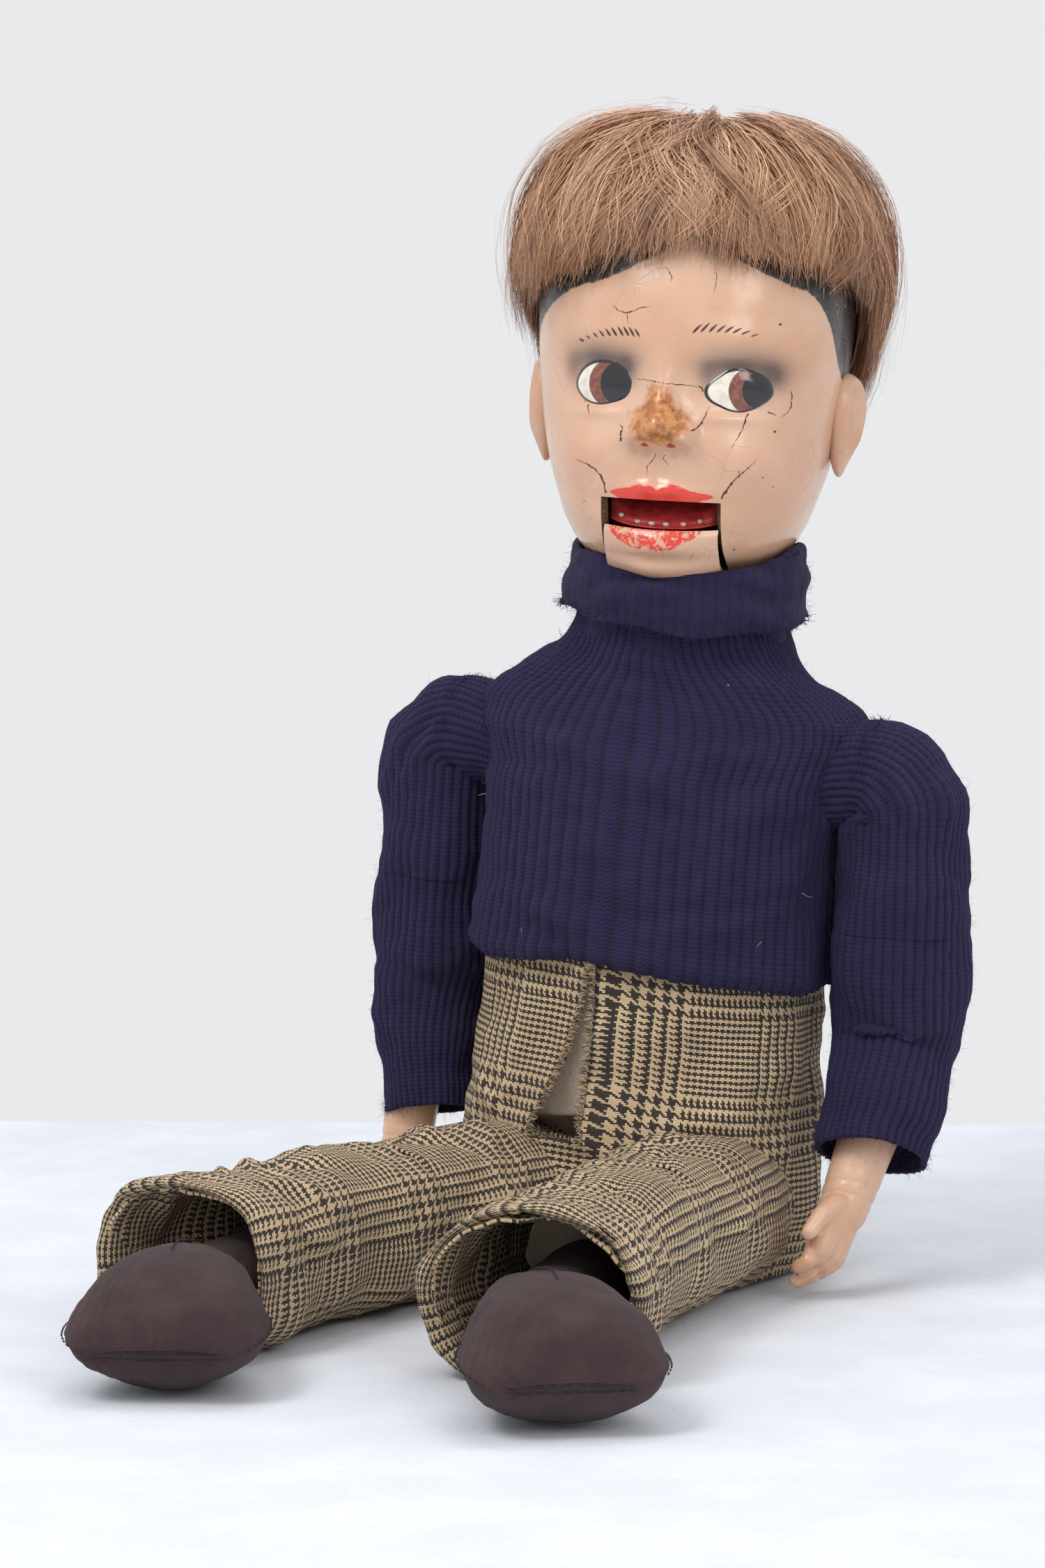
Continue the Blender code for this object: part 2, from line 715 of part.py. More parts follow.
def make_wig(frames):
    """The glued wig: a thick cap of hair above a slanting hairline."""
    bm = skin(bmesh.new(), head_rings(growth=GAP + 0.6 * MM), cap_first=False)
    bmesh.ops.recalc_face_normals(bm, faces=bm.faces)
    front = Vector((0, -HEAD_FRONT, HAIRLINE_FRONT))
    back = Vector((0, HEAD_BACK, HAIRLINE_BACK))
    normal = (back - front).cross(Vector((1, 0, 0))).normalized()
    if normal.z < 0:
        normal = -normal
    slice_mesh(bm, front, normal)
    drop_faces(bm, lambda c: (c - front).dot(normal) < 0)
    wig = node("wig", bm, "wig_hair", frames["head"])
    thicken(wig, WIG_THICKNESS, 1)


# ---------------------------------------------------------------- jaw and its works
def make_jaw(frames):
    """The chin piece, in the jaw joint's frame: the head's own chin between two side cuts."""
    shift = Matrix.Translation((0, -PIVOT_Y, -PIVOT_HEIGHT))
    chin = skin(bmesh.new(), head_rings())
    chin.transform(shift)
    jaw = node("jaw", chin, "composition", frames["jaw"])
    top = MOUTH_HEIGHT - JAW_CLEARANCE - PIVOT_HEIGHT
    back = -HEAD_FRONT + JAW_DEPTH - PIVOT_Y
    limits = box((-JAW_WIDTH / 2, -2 * HEAD_FRONT, -HEAD_HEIGHT), (JAW_WIDTH / 2, back, top))
    boolean(jaw, cutter("jaw_limits", limits, frames["jaw"]), "INTERSECT")
    for side, sign in (("l", 1), ("r", -1)):
        x = sign * JAW_WIDTH / 2
        cheek = cheek_plate(x, x - sign * JAW_CHEEK, back, top)
        boolean(jaw, cutter("cheek_" + side, cheek, frames["jaw"]), "UNION")
    bore = rod((-JAW_WIDTH, 0, 0), (JAW_WIDTH, 0, 0), PIVOT_RADIUS + GAP, 12)
    boolean(jaw, cutter("jaw_bore", bore, frames["jaw"]), "DIFFERENCE")

    node("tongue", tongue_wedge(back, top + GAP), "red_paint", frames["jaw"])
    return back, top


def tongue_wedge(back, base):
    """The tongue rises towards the back of the mouth, and its edges are rounded down."""
    half = JAW_WIDTH / 2 - JAW_CHEEK - GAP
    rings = []
    for share, rise in ((-1, 0.55), (-0.8, 0.85), (-0.4, 1), (0.4, 1), (0.8, 0.85), (1, 0.55)):
        tall = TONGUE_RISE * rise
        tip = -HEAD_FRONT + (8.5 + 6 * share * share) * MM - PIVOT_Y
        outline = (
            (tip, base),
            (tip, base + 0.12 * tall),
            (tip + 0.3 * (back - tip), base + 0.45 * tall),
            (tip + 0.65 * (back - tip), base + 0.80 * tall),
            (back, base + tall),
            (back, base),
        )
        rings.append([Vector((share * half, y, z)) for y, z in outline])
    return solid(rings)


def cheek_plate(x0, x1, back, top):
    """A side strap from the chin piece to the pivot, rounded about the pivot."""
    radius = 5.5 * MM
    outline = [(back - 3 * MM, top - 1 * MM), (back - 3 * MM, top - 12 * MM)]
    for i in range(9):
        angle = math.radians(-90 + 22.5 * i)
        outline.append((radius * math.cos(angle), radius * math.sin(angle)))
    rings = [[Vector((x, y, z)) for y, z in outline] for x in sorted((x0, x1))]
    return skin(bmesh.new(), rings)


def make_jaw_works(frames, back, top):
    rod_half = HEAD_HALF_WIDTH * 0.70
    pivot = (0, PIVOT_Y, PIVOT_HEIGHT)
    bm = rod((-rod_half, *pivot[1:]), (rod_half, *pivot[1:]), PIVOT_RADIUS)
    node("jaw_pivot_rod", bm, "steel_wire", frames["head"])
    for side, sign in (("l", 1), ("r", -1)):
        inner, outer = rod_half - 8 * MM, rod_half - 1 * MM
        low = (min(sign * inner, sign * outer), PIVOT_Y - 6 * MM, PIVOT_HEIGHT - 6 * MM)
        high = (max(sign * inner, sign * outer), PIVOT_Y + 6 * MM, PIVOT_HEIGHT + 6 * MM)
        block = node("pivot_block_" + side, box(low, high), "wood", frames["head"])
        bore = rod((-HEAD_HALF_WIDTH, *pivot[1:]), (HEAD_HALF_WIDTH, *pivot[1:]), PIVOT_RADIUS + 0.2 * MM, 12)
        boolean(block, cutter("block_bore_" + side, bore, frames["head"]), "DIFFERENCE")

    lever_top = -PIVOT_RADIUS - 1.5 * MM
    lever = box((-2.5 * MM, back + GAP, lever_top - 3 * MM), (2.5 * MM, LEVER_REACH, lever_top))
    node("jaw_lever", lever, "wood", frames["jaw"])
    tip = Vector((0, LEVER_REACH, lever_top))
    tip.rotate(Matrix.Rotation(JAW_OPEN, 3, "X"))
    stop_z = PIVOT_HEIGHT + tip.z + 0.3 * MM
    stop_half = HEAD_HALF_WIDTH * 0.64
    bar_low = (-stop_half, PIVOT_Y + tip.y - 5 * MM, stop_z)
    bar_high = (stop_half, PIVOT_Y + tip.y + 1 * MM, stop_z + 6 * MM)
    node("jaw_stop_bar", box(bar_low, bar_high), "wood", frames["head"])

    eye_z = -PIVOT_HEIGHT + cord_exit_height() - 2 * MM
    ring_bm = torus((0, back + 3.4 * MM, eye_z), (1, 0, 0), 2.6 * MM, 0.6 * MM, 14)
    node("cord_screw_eye", ring_bm, "brass", frames["jaw"])


# ---------------------------------------------------------------- arms
def mitre(points, along, level, slope, toward):
    """Slants the half of an end ring that lies on the folding side, so that two ends can fold."""
    moved = []
    for p in points:
        depth = max(0.0, level - p.dot(toward))
        moved.append(p + Vector(along) * depth * math.tan(slope))
    return moved


def arm_ring(z, radius, deep=1.0, count=16):
    return ring((0, 0, z), (1, 0, 0), (0, 1, 0), radius, radius * deep, radius * deep, count)


def dome(radius, steps=3):
    """(height, radius) pairs of a dome's rings, from near its pole to its equator."""
    pairs = []
    for i in range(steps):
        angle = math.radians(78 - 78 * i / steps)
        pairs.append((radius * math.sin(angle), radius * math.cos(angle)))
    return pairs


def upper_tube(radius, end_gap, turn):
    """Rings from the dome over the shoulder down to the mitred end above the elbow."""
    fold = Vector((math.sin(turn), math.cos(turn), 0))
    rings = [arm_ring(z, r) for z, r in dome(radius)]
    rings.append(arm_ring(0, radius))
    rings.append(arm_ring(-0.45 * UPPER_ARM, radius * 1.04))
    rings.append(arm_ring(-UPPER_ARM + radius + end_gap + 6 * MM, radius))
    end = arm_ring(-UPPER_ARM + end_gap, radius)
    rings.append(mitre(end, (0, 0, 1), 0, ELBOW_MITRE, fold))
    return rings


def lower_tube(radius, end_radius, length, start_gap):
    """Rings from the mitred start below the elbow to a plain end."""
    start = arm_ring(-start_gap, radius)
    rings = [mitre(start, (0, 0, -1), 0, ELBOW_MITRE, Vector((0, 1, 0)))]
    rings.append(arm_ring(-radius - start_gap - 6 * MM, radius))
    rings.append(arm_ring(-length, end_radius))
    return rings


def make_arm(frames, side, sign):
    shoulder, elbow = frames["shoulder_" + side], frames["elbow_" + side]
    end_gap = MOVE_GAP
    turn = sign * ELBOW_TURN[side]
    bm = solid(upper_tube(ARM_RADIUS, end_gap, turn))
    arm = node("upper_arm_" + side, bm, "torso_cotton", shoulder)
    reach = shoulder_x() - TORSO_HALF_WIDTH * TORSO_ROWS[5][1] - MOVE_GAP
    root_length = reach / math.cos(LEG_SPLAY[side]) - 4 * MM
    root = rod((0, 0, 0), (-sign * root_length, 0, 0), ARM_ROOT_RADIUS, 14)
    boolean(arm, cutter("arm_root_" + side, root, shoulder), "UNION")

    outer, inner = sleeve_radius(), sleeve_radius() - SLEEVE_WALL
    sleeve = cup_wall(upper_tube(outer, end_gap, turn), upper_tube(inner, end_gap, turn))
    upper = node("sleeve_upper_" + side, sleeve, "navy_knit", shoulder)
    hole = rod((-sign * 3 * MM, 0, 0), (-sign * 3 * outer, 0, 0), ARM_ROOT_RADIUS + MOVE_GAP, 16)
    boolean(upper, cutter("sleeve_hole_" + side, hole, shoulder), "DIFFERENCE")

    wide, narrow = outer - 0.5 * MM, inner - 0.5 * MM
    wall = tube_wall(
        lower_tube(outer, wide, SLEEVE_CUFF, end_gap), lower_tube(inner, narrow, SLEEVE_CUFF, end_gap)
    )
    node("sleeve_lower_" + side, slanted(wall, side, sign), "navy_knit", elbow)
    make_forearm(elbow, side, sign, end_gap)


def make_forearm(elbow, side, sign, end_gap):
    """The composition forearm and hand, cast in one, with a groove where the cloth arm is tied."""
    wrist = FOREARM * 0.62
    radius = FOREARM_RADIUS
    groove = -radius - end_gap - 9 * MM
    rings = lower_tube(radius, radius, -groove - 3 * MM, end_gap)[:2]
    rings.append(arm_ring(groove + 1.4 * MM, radius))
    rings.append(arm_ring(groove + 1.2 * MM, radius - 1.8 * MM))
    rings.append(arm_ring(groove - 1.2 * MM, radius - 1.8 * MM))
    rings.append(arm_ring(groove - 1.4 * MM, radius + 0.4 * MM))
    rings.append(arm_ring(-0.45 * FOREARM, radius - 0.3 * MM))
    rings.append(arm_ring(-wrist, WRIST_RADIUS))
    hand = FOREARM - wrist
    for along, deep, across in PALM_FORMS:
        z = -wrist - along * hand
        half = HAND_HALF_WIDTH
        flat = 0.62 * half * across
        rings.append(ring((0, 0, z), (1, 0, 0), (0, 1, 0), flat, half * deep, half * deep, 16, 2.4))
    forearm = node("forearm_" + side, slanted(solid(rings), side, sign), "composition", elbow)
    for k in range(4):
        made = slanted(finger(k, wrist, hand), side, sign)
        boolean(forearm, cutter(f"finger_{side}_{k}", made, elbow), "UNION")
    made = slanted(thumb(sign, wrist, hand), side, sign)
    boolean(forearm, cutter("thumb_" + side, made, elbow), "UNION")
    tie = torus((0, 0, groove), (0, 0, 1), radius - 0.8 * MM, 0.6 * MM, 20)
    node("arm_tie_" + side, slanted(tie, side, sign), "cord", elbow)


def slanted(bm, side, sign):
    """Slants a forearm piece inwards, from just below the elbow's fold."""
    start = sleeve_radius()
    for v in bm.verts:
        v.co.x -= sign * math.tan(FOREARM_LEAN[side]) * max(0.0, -v.co.z - start)
    return bm


def finger(k, wrist, hand):
    """One of four fingers side by side, from the front of the palm to the back."""
    half = HAND_HALF_WIDTH
    y = half * (-0.66 + 0.44 * k)
    length = hand * (0.93, 1.0, 0.96, 0.84)[k]
    radius = half * 0.24
    start, end = -wrist - 0.55 * hand, -wrist - length
    rings = []
    for share, grow in ((0, 0.9), (0.3, 1.05), (0.75, 1.0), (0.93, 0.75), (1, 0.35)):
        z = start + (end - start) * share
        rings.append(ring((0, y, z), (1, 0, 0), (0, 1, 0), radius * grow, radius * grow, radius * grow, 8))
    return solid(rings)


def thumb(sign, wrist, hand):
    """The thumb stands off the front edge of the palm."""
    half = HAND_HALF_WIDTH
    start = Vector((0, -0.55 * half, -wrist - 0.15 * hand))
    end = Vector((-sign * 0.25 * half, -1.55 * half, -wrist - 0.50 * hand))
    line = (end - start).normalized()
    across = Vector((1, 0, 0))
    up = line.cross(across).normalized()
    rings = []
    for share, grow in ((0, 0.9), (0.4, 1), (0.8, 0.95), (1, 0.45)):
        radius = half * 0.30 * grow
        rings.append(ring(start.lerp(end, share), across, up, radius, radius, radius, 8))
    return solid(rings)


# ---------------------------------------------------------------- legs
def leg_ring(y, half_width, high, low, lift=0.0, power=2.3, count=18):
    """A ring across the leg, in the hip or knee frame, where the leg runs along -Y."""
    return ring((0, y, lift), (1, 0, 0), (0, 0, 1), half_width, high, low, count, power)


def side_of(sign):
    return "l" if sign > 0 else "r"


def knee_fold(sign, in_thigh):
    """The side of the leg away from the fold. The knee's axis is turned about the leg by the
    splay, so that hanging legs fold straight back."""
    turn = -sign * LEG_SPLAY[side_of(sign)] if in_thigh else 0
    return Vector((math.sin(turn), 0, math.cos(turn)))


def thigh_rings(shrink, end_gap, sign):
    """From the half round over the hip axis to the mitred end above the knee."""
    rings = []
    radius, half = HIP_RADIUS - shrink, HIP_HALF_WIDTH - shrink
    for degrees in (80, 55, 28):
        angle = math.radians(degrees)
        high = radius * math.cos(angle)
        rings.append(leg_ring(radius * math.sin(angle), half * (1 - 0.25 * math.sin(angle) ** 4), high, high))
    rings.append(leg_ring(0, half, radius, radius))
    knee_half = KNEE_HALF_WIDTH - shrink
    reach = radius * math.tan(KNEE_MITRE) + end_gap + 6 * MM
    rings.append(leg_ring(-THIGH + reach, knee_half, radius, radius))
    end = leg_ring(-THIGH + end_gap, knee_half, radius, radius)
    rings.append(mitre(end, (0, 1, 0), 0, KNEE_MITRE, knee_fold(sign, True)))
    return rings


def turned(points, angle):
    """Turns points about the leg's length, to bring a round or broad section level again."""
    turn = Matrix.Rotation(angle, 3, "Y")
    return [turn @ p for p in points]


def make_leg(frames, side, sign):
    hip, knee = frames["hip_" + side], frames["knee_" + side]
    wall, room = TROUSER_WALL, LEG_ROOM
    node("thigh_" + side, solid(thigh_rings(wall + room, MOVE_GAP, sign)), "torso_cotton", hip)
    outer, inner = thigh_rings(0, MOVE_GAP, sign), thigh_rings(wall, MOVE_GAP, sign)
    node("trouser_thigh_" + side, cup_wall(outer, inner), "check_cloth", hip)

    outer, inner = shin_trouser_rings(0, sign), shin_trouser_rings(wall, sign)
    node("trouser_cuff_" + side, tube_wall(outer, inner), "check_cloth", knee)

    start_radius = HIP_RADIUS - wall - room
    start = leg_ring(-MOVE_GAP, start_radius, start_radius, start_radius, power=2)
    drop = SHIN_RADIUS + wall + 2 * GAP - HIP_RADIUS
    rings = [mitre(start, (0, -1, 0), 0, KNEE_MITRE, knee_fold(sign, False))]
    reach = start_radius * math.tan(KNEE_MITRE) + MOVE_GAP + 4 * MM
    rings.append(leg_ring(-reach, 0.94 * start_radius, 0.94 * start_radius, 0.94 * start_radius, power=2))
    level = sign * LEG_SPLAY[side_of(sign)]
    for along, share in ((-SHIN * 0.75, 0.8), (-SHIN + GAP, 1)):
        points = leg_ring(along, SHIN_RADIUS, SHIN_RADIUS, SHIN_RADIUS, drop * share, 2)
        shift = Vector((ANKLE_SHIFT[side] * -along / SHIN, 0, 0))
        rings.append(turned([p + shift for p in points], level))
    node("stocking_leg_" + side, solid(rings), "brown_cotton", knee)
    make_foot(knee, side, drop, level)


def shin_trouser_rings(shrink, sign):
    """The lower trouser leg widens from the knee to a hem that lies flat underneath."""
    radius, half = HIP_RADIUS - shrink, KNEE_HALF_WIDTH - shrink
    level = sign * LEG_SPLAY[side_of(sign)]
    start = turned(leg_ring(-MOVE_GAP, half, radius, radius), level)
    rings = [mitre(start, (0, -1, 0), 0, KNEE_MITRE, knee_fold(sign, False))]
    reach = radius * math.tan(KNEE_MITRE) + MOVE_GAP + 4 * MM
    share = reach / CUFF_REACH
    wide = half + (CUFF_HALF_WIDTH - KNEE_HALF_WIDTH) * share
    rings.append(turned(leg_ring(-reach, wide, radius, radius), level))
    high = CUFF_HEIGHT - HIP_RADIUS - shrink
    rings.append(turned(leg_ring(-CUFF_REACH, CUFF_HALF_WIDTH - shrink, high, radius), level))
    return rings


def make_foot(knee, side, drop, level):
    """A stuffed foot: round at the ankle, then a broad pad with the sole seam at mid height."""
    rows = (  # (along, half width, height above the sole)
        (0.0, 0.58, 0.80),
        (0.16, 0.68, 0.88),
        (0.38, 0.86, 1.00),
        (0.62, 1.00, 1.00),
        (0.82, 0.98, 0.86),
        (0.93, 0.80, 0.62),
        (0.985, 0.50, 0.34),
        (1.0, 0.28, 0.18),
    )
    rings = []
    for along, width, height in rows:
        half_height = FOOT_HEIGHT * height / 2
        middle = -HIP_RADIUS + GAP + FOOT_HEIGHT / 2 * (0.66 + 0.34 * height)
        if along == 0:
            middle = drop
        half_width = FOOT_HALF_WIDTH * width
        points = leg_ring(-along * FOOT_LENGTH, half_width, half_height, half_height, middle, 2.1)
        turn = Matrix.Rotation(FOOT_TURN[side] * min(1, along / 0.16), 3, "Z")
        ankle = Vector((ANKLE_SHIFT[side], -SHIN, 0))
        rings.append(turned([turn @ p + ankle for p in points], level))
    node("stuffed_foot_" + side, solid(rings), "brown_cotton", knee)


# ---------------------------------------------------------------- the whole dummy
def clear_scene():
    for found in list(bpy.data.objects):
        bpy.data.objects.remove(found)


def main():
    clear_scene()
    frames = joint_frames()
    frames["neck_top"] = empty("swivel_top", frames["neck"], (0, 0, SWIVEL_HEIGHT - NECK_PIVOT))
    bpy.context.view_layer.update()
    make_torso()
    make_trouser_seat()
    make_sweater()
    make_collar()
    make_neck(frames)
    make_head_bush(frames)
    make_head_shells(frames)
    make_cord_eyelet(frames)
    make_wig(frames)
    back, top = make_jaw(frames)
    make_jaw_works(frames, back, top)
    for side, sign in (("l", 1), ("r", -1)):
        make_arm(frames, side, sign)
        make_leg(frames, side, sign)


main()
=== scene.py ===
"""The looks of a seated ventriloquist dummy, built round its CAD frame.

Metres, +Z up, the dummy faces -Y and its left side is +X. Each soft piece is laid out from a flat
grid whose UV map is in metres, so that ribs, stitches and checks keep their real size.
"""

import math

import bpy
import numpy as np
from mathutils import Euler, Matrix, Vector, noise


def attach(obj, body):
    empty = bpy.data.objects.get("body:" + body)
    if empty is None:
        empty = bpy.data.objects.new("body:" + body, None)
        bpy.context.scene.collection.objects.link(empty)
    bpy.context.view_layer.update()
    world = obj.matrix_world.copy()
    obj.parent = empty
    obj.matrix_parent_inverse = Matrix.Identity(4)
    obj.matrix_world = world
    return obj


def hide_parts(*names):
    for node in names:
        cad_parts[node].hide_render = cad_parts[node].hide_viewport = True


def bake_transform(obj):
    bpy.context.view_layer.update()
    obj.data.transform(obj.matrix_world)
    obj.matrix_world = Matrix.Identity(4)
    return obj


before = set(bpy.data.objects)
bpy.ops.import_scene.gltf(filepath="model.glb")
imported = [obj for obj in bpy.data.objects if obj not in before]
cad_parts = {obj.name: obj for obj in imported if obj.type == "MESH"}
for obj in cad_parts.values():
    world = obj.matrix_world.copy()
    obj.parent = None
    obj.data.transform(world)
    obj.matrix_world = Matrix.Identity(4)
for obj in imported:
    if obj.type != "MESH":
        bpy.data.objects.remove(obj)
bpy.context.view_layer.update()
bpy.context.scene.view_settings.view_transform = "Standard"

MM = 0.001
SIDES = (("l", 1), ("r", -1))

# ---------------------------------------------------------------- sizes shared with the CAD part
LEAN = math.radians(4.5)
NECK_TILT = math.radians(1.5)
HEAD_TURN = math.radians(10)
JAW_OPEN = math.radians(10.5)
HEAD_HEIGHT = 183.0
HEAD_HALF_WIDTH = 62.0
HEAD_FRONT = 61.0
HEAD_BACK = 71.0
SEAM_Y = 14.0
JAW_HALF = 22.5
MOUTH_HEIGHT = 48.0
TORSO_HEIGHT = 236.0
TORSO_HALF_WIDTH = 65.0
TORSO_HALF_DEPTH = 43.0
SHOULDER_X = 98.0
SHOULDER_Z = 212.0
UPPER_ARM = 106.0
FOREARM = 108.0
ARM_OUT = {"l": math.radians(3), "r": math.radians(-0.3)}
ELBOW_REST = {"l": math.radians(27), "r": math.radians(12)}
ELBOW_TURN = {"l": math.radians(4), "r": math.radians(12)}
FOREARM_LEAN = {"l": math.radians(11), "r": 0.0}
SPLAY = {"l": math.radians(4), "r": math.radians(13)}
HIP_X = 42.0
HIP_Y = -44.0
HIP_RADIUS = 31.0
THIGH = 118.0
SHIN = 84.0
FOOT_LENGTH = 80.0
FOOT_HALF_WIDTH = 33.5
FOOT_HEIGHT = 48.0
FOOT_TURN = {"l": math.radians(28), "r": math.radians(32)}
ANKLE_SHIFT = {"l": 6.0, "r": 14.0}

TORSO_ROWS = (
    (-0.03, 0.98, 1.00),
    (0.10, 1.06, 1.05),
    (0.28, 1.03, 1.04),
    (0.50, 1.00, 1.00),
    (0.72, 1.02, 1.00),
    (0.86, 1.02, 0.95),
    (0.935, 0.95, 0.82),
    (0.975, 0.76, 0.66),
    (1.00, 0.50, 0.52),
)
HEAD_ROWS = (
    (-0.05, 0.38, 0.33, 0.37),
    (0.03, 0.38, 0.33, 0.37),
    (0.08, 0.43, 0.40, 0.43),
    (0.12, 0.56, 0.64, 0.54),
    (0.155, 0.66, 0.82, 0.62),
    (0.20, 0.745, 0.91, 0.70),
    (0.265, 0.82, 0.955, 0.79),
    (0.33, 0.88, 0.975, 0.86),
    (0.41, 0.93, 0.985, 0.93),
    (0.50, 0.965, 0.985, 0.97),
    (0.60, 0.99, 1.00, 1.00),
    (0.70, 1.00, 0.97, 0.99),
    (0.79, 0.945, 0.87, 0.93),
    (0.87, 0.82, 0.70, 0.80),
    (0.94, 0.61, 0.46, 0.60),
    (0.98, 0.36, 0.23, 0.34),
    (1.00, 0.10, 0.02, 0.10),
)
HEAD_POWER = 2.15
SHELL_WALL = 4.0
NECK_OPENING_Z = -7.9
JAW_PIVOT = (0, 2, 54.0)
JAW_TOP = 47.0
MOUTH_BACK = -23.6
TONGUE_HALF = 21.8
WOOL_WALL = 0.0016
CLOTH_WALL = 0.0012
FRONT = 0.75  # the turn at which a ring round the head or the torso faces forwards
# (x, height, how proud, half width, half height), in millimetres
FACE_FORMS = (
    (0, 76.0, 11.5, 8.4, 7.0),
    (0, 84, 3.6, 6.0, 7.0),
    (0, 93, 3.6, 5.5, 10),
    (10.6, 72.0, 6.4, 4.8, 4.6),
    (5.2, 66.6, -2.2, 2.6, 2.0),
    (15.2, 72, -1.3, 2.0, 5.5),
    (26, 92, -2.4, 14, 10),
    (26, 102.6, 1.6, 12, 2.6),
    (27, 80.5, 1.3, 11, 2.2),
    (26, 111, 1.6, 16, 6),
    (31, 64, 3.2, 12, 10),
    (24.5, 60, -1.0, 2.6, 7),
    (0, 51, 2.2, 17, 3.6),
    (5.2, 53.2, 1.0, 4.6, 2.4),
    (0, 59.5, -0.9, 2.2, 5),
    (0, 40.5, 2.6, 15, 4.5),
    (0, 34.8, -1.2, 12, 2.6),
    (0, 27, 3.4, 12, 8),
    (45, 118, -1.2, 10, 12),
)


# ---------------------------------------------------------------- frames
def place(x=0.0, y=0.0, z=0.0, turn=(0, 0, 0)):
    return Matrix.Translation(Vector((x, y, z)) * MM) @ Euler(turn).to_matrix().to_4x4()


BODY = place(turn=(0, LEAN, 0))
NECK = BODY @ place(z=243, turn=(0, -NECK_TILT, 0))
HEAD = NECK @ place(z=19, turn=(0, 0, HEAD_TURN))
JAW = HEAD @ place(y=2, z=54, turn=(JAW_OPEN, 0, 0))
SHOULDER, ELBOW, HIP, KNEE = {}, {}, {}, {}
for side, sign in SIDES:
    SHOULDER[side] = BODY @ place(
        sign * SHOULDER_X, 0, SHOULDER_Z, (0, -sign * ARM_OUT[side], sign * SPLAY[side])
    )
    ELBOW[side] = SHOULDER[side] @ place(
        z=-UPPER_ARM, turn=(-ELBOW_REST[side], 0, -sign * ELBOW_TURN[side])
    )
    HIP[side] = place(sign * HIP_X, HIP_Y, HIP_RADIUS, (0, 0, sign * SPLAY[side]))
    KNEE[side] = HIP[side] @ place(y=-THIGH, turn=(0, -sign * SPLAY[side], 0))


def moved(matrix, points):
    """Points in millimetres in a frame, as metres in the row frame."""
    m = np.array(matrix)
    return points * MM @ m[:3, :3].T + m[:3, 3]


def within(matrix, points):
    """Points in metres in the row frame, as millimetres in a frame."""
    m = np.array(matrix.inverted())
    return (points @ m[:3, :3].T + m[:3, 3]) / MM


# ---------------------------------------------------------------- shaping helpers
def profile(rows, t):
    """Smooth values between rows; the first column says where along each row is."""
    rows = np.array(rows, float)
    x, y = rows[:, 0], rows[:, 1:]
    slope = np.gradient(y, x, axis=0)
    t = np.clip(t, x[0], x[-1])
    i = np.clip(np.searchsorted(x, t, side="right") - 1, 0, len(x) - 2)
    h = x[i + 1] - x[i]
    s = (t - x[i]) / h
    a, b = (1 + 2 * s) * (1 - s) ** 2, s * (1 - s) ** 2 * h
    c, d = s * s * (3 - 2 * s), s * s * (s - 1) * h
    return [a * y[i, k] + b * slope[i, k] + c * y[i + 1, k] + d * slope[i + 1, k] for k in range(y.shape[1])]


def step(low, high, t):
    s = np.clip((t - low) / (high - low), 0, 1)
    return s * s * (3 - 2 * s)


def bell(t, middle, width):
    return np.exp(-(((t - middle) / width) ** 2))


def mound(x, z, middle_x, middle_z, half_width, half_height):
    return np.exp(-(((x - middle_x) / half_width) ** 2) - ((z - middle_z) / half_height) ** 2)


def rounded(turn, half_width, high, low, power):
    """A point on a superellipse: across, and up with its own half heights."""
    c, s = np.cos(2 * np.pi * turn), np.sin(2 * np.pi * turn)
    x = np.sign(c) * np.abs(c) ** (2 / power) * half_width
    y = np.sign(s) * np.abs(s) ** (2 / power) * np.where(s > 0, high, low)
    return x, y


def cloudy(points, size, seed=0):
    """Smooth noise from about -0.5 to 0.5, with lumps of a size in the units of the points."""
    shift = Vector((seed * 17.3, seed * 5.1, seed * 9.7))
    return np.array([noise.noise(Vector(p) / size + shift) for p in points])


def deselect():
    for found in bpy.context.selected_objects:
        found.select_set(False)


def pick(made):
    deselect()
    made.select_set(True)
    bpy.context.view_layer.objects.active = made
    return made


def coordinates(made):
    flat = np.zeros(len(made.data.vertices) * 3)
    made.data.vertices.foreach_get("co", flat)
    return flat.reshape(-1, 3)


def put(made, points):
    made.data.vertices.foreach_set("co", np.asarray(points, float).ravel())
    made.data.update()


def normals(made):
    flat = np.zeros(len(made.data.vertices) * 3)
    made.data.vertices.foreach_get("normal", flat)
    return flat.reshape(-1, 3)


def spot(matrix, x, y, z):
    """One point in millimetres in a frame, as metres in the row frame."""
    return moved(matrix, np.array([[x, y, z]], float))[0]


def on_floor(points, lowest):
    """The same points, with none below a height, in metres."""
    points[:, 2] = np.maximum(points[:, 2], lowest)
    return points


def uv_of(made):
    layer = made.data.uv_layers.active.data
    flat = np.zeros(len(layer) * 2)
    layer.foreach_get("uv", flat)
    return flat.reshape(-1, 2)


def put_uv(made, uv):
    made.data.uv_layers.active.data.foreach_set("uv", uv.ravel())


def corners_of(made):
    """Which point each corner of the faces is."""
    found = np.zeros(len(made.data.loops), np.int32)
    made.data.loops.foreach_get("vertex_index", found)
    return found


def laid(name, shape, columns, rows, size=(1.0, 1.0)):
    """A flat grid laid where shape(u, v) puts it, in metres. Its UV map is scaled to size."""
    deselect()
    bpy.ops.mesh.primitive_grid_add(x_subdivisions=columns, y_subdivisions=rows, size=1, calc_uvs=True)
    made = bpy.context.object
    made.name = made.data.name = name
    flat = coordinates(made)
    put(made, shape(flat[:, 0] + 0.5, flat[:, 1] + 0.5))
    put_uv(made, uv_of(made) * np.array(size))
    return made


def edit(made, *steps):
    pick(made)
    bpy.ops.object.mode_set(mode="EDIT")
    bpy.ops.mesh.select_all(action="SELECT")
    for act in steps:
        act()
    bpy.ops.object.mode_set(mode="OBJECT")
    return made


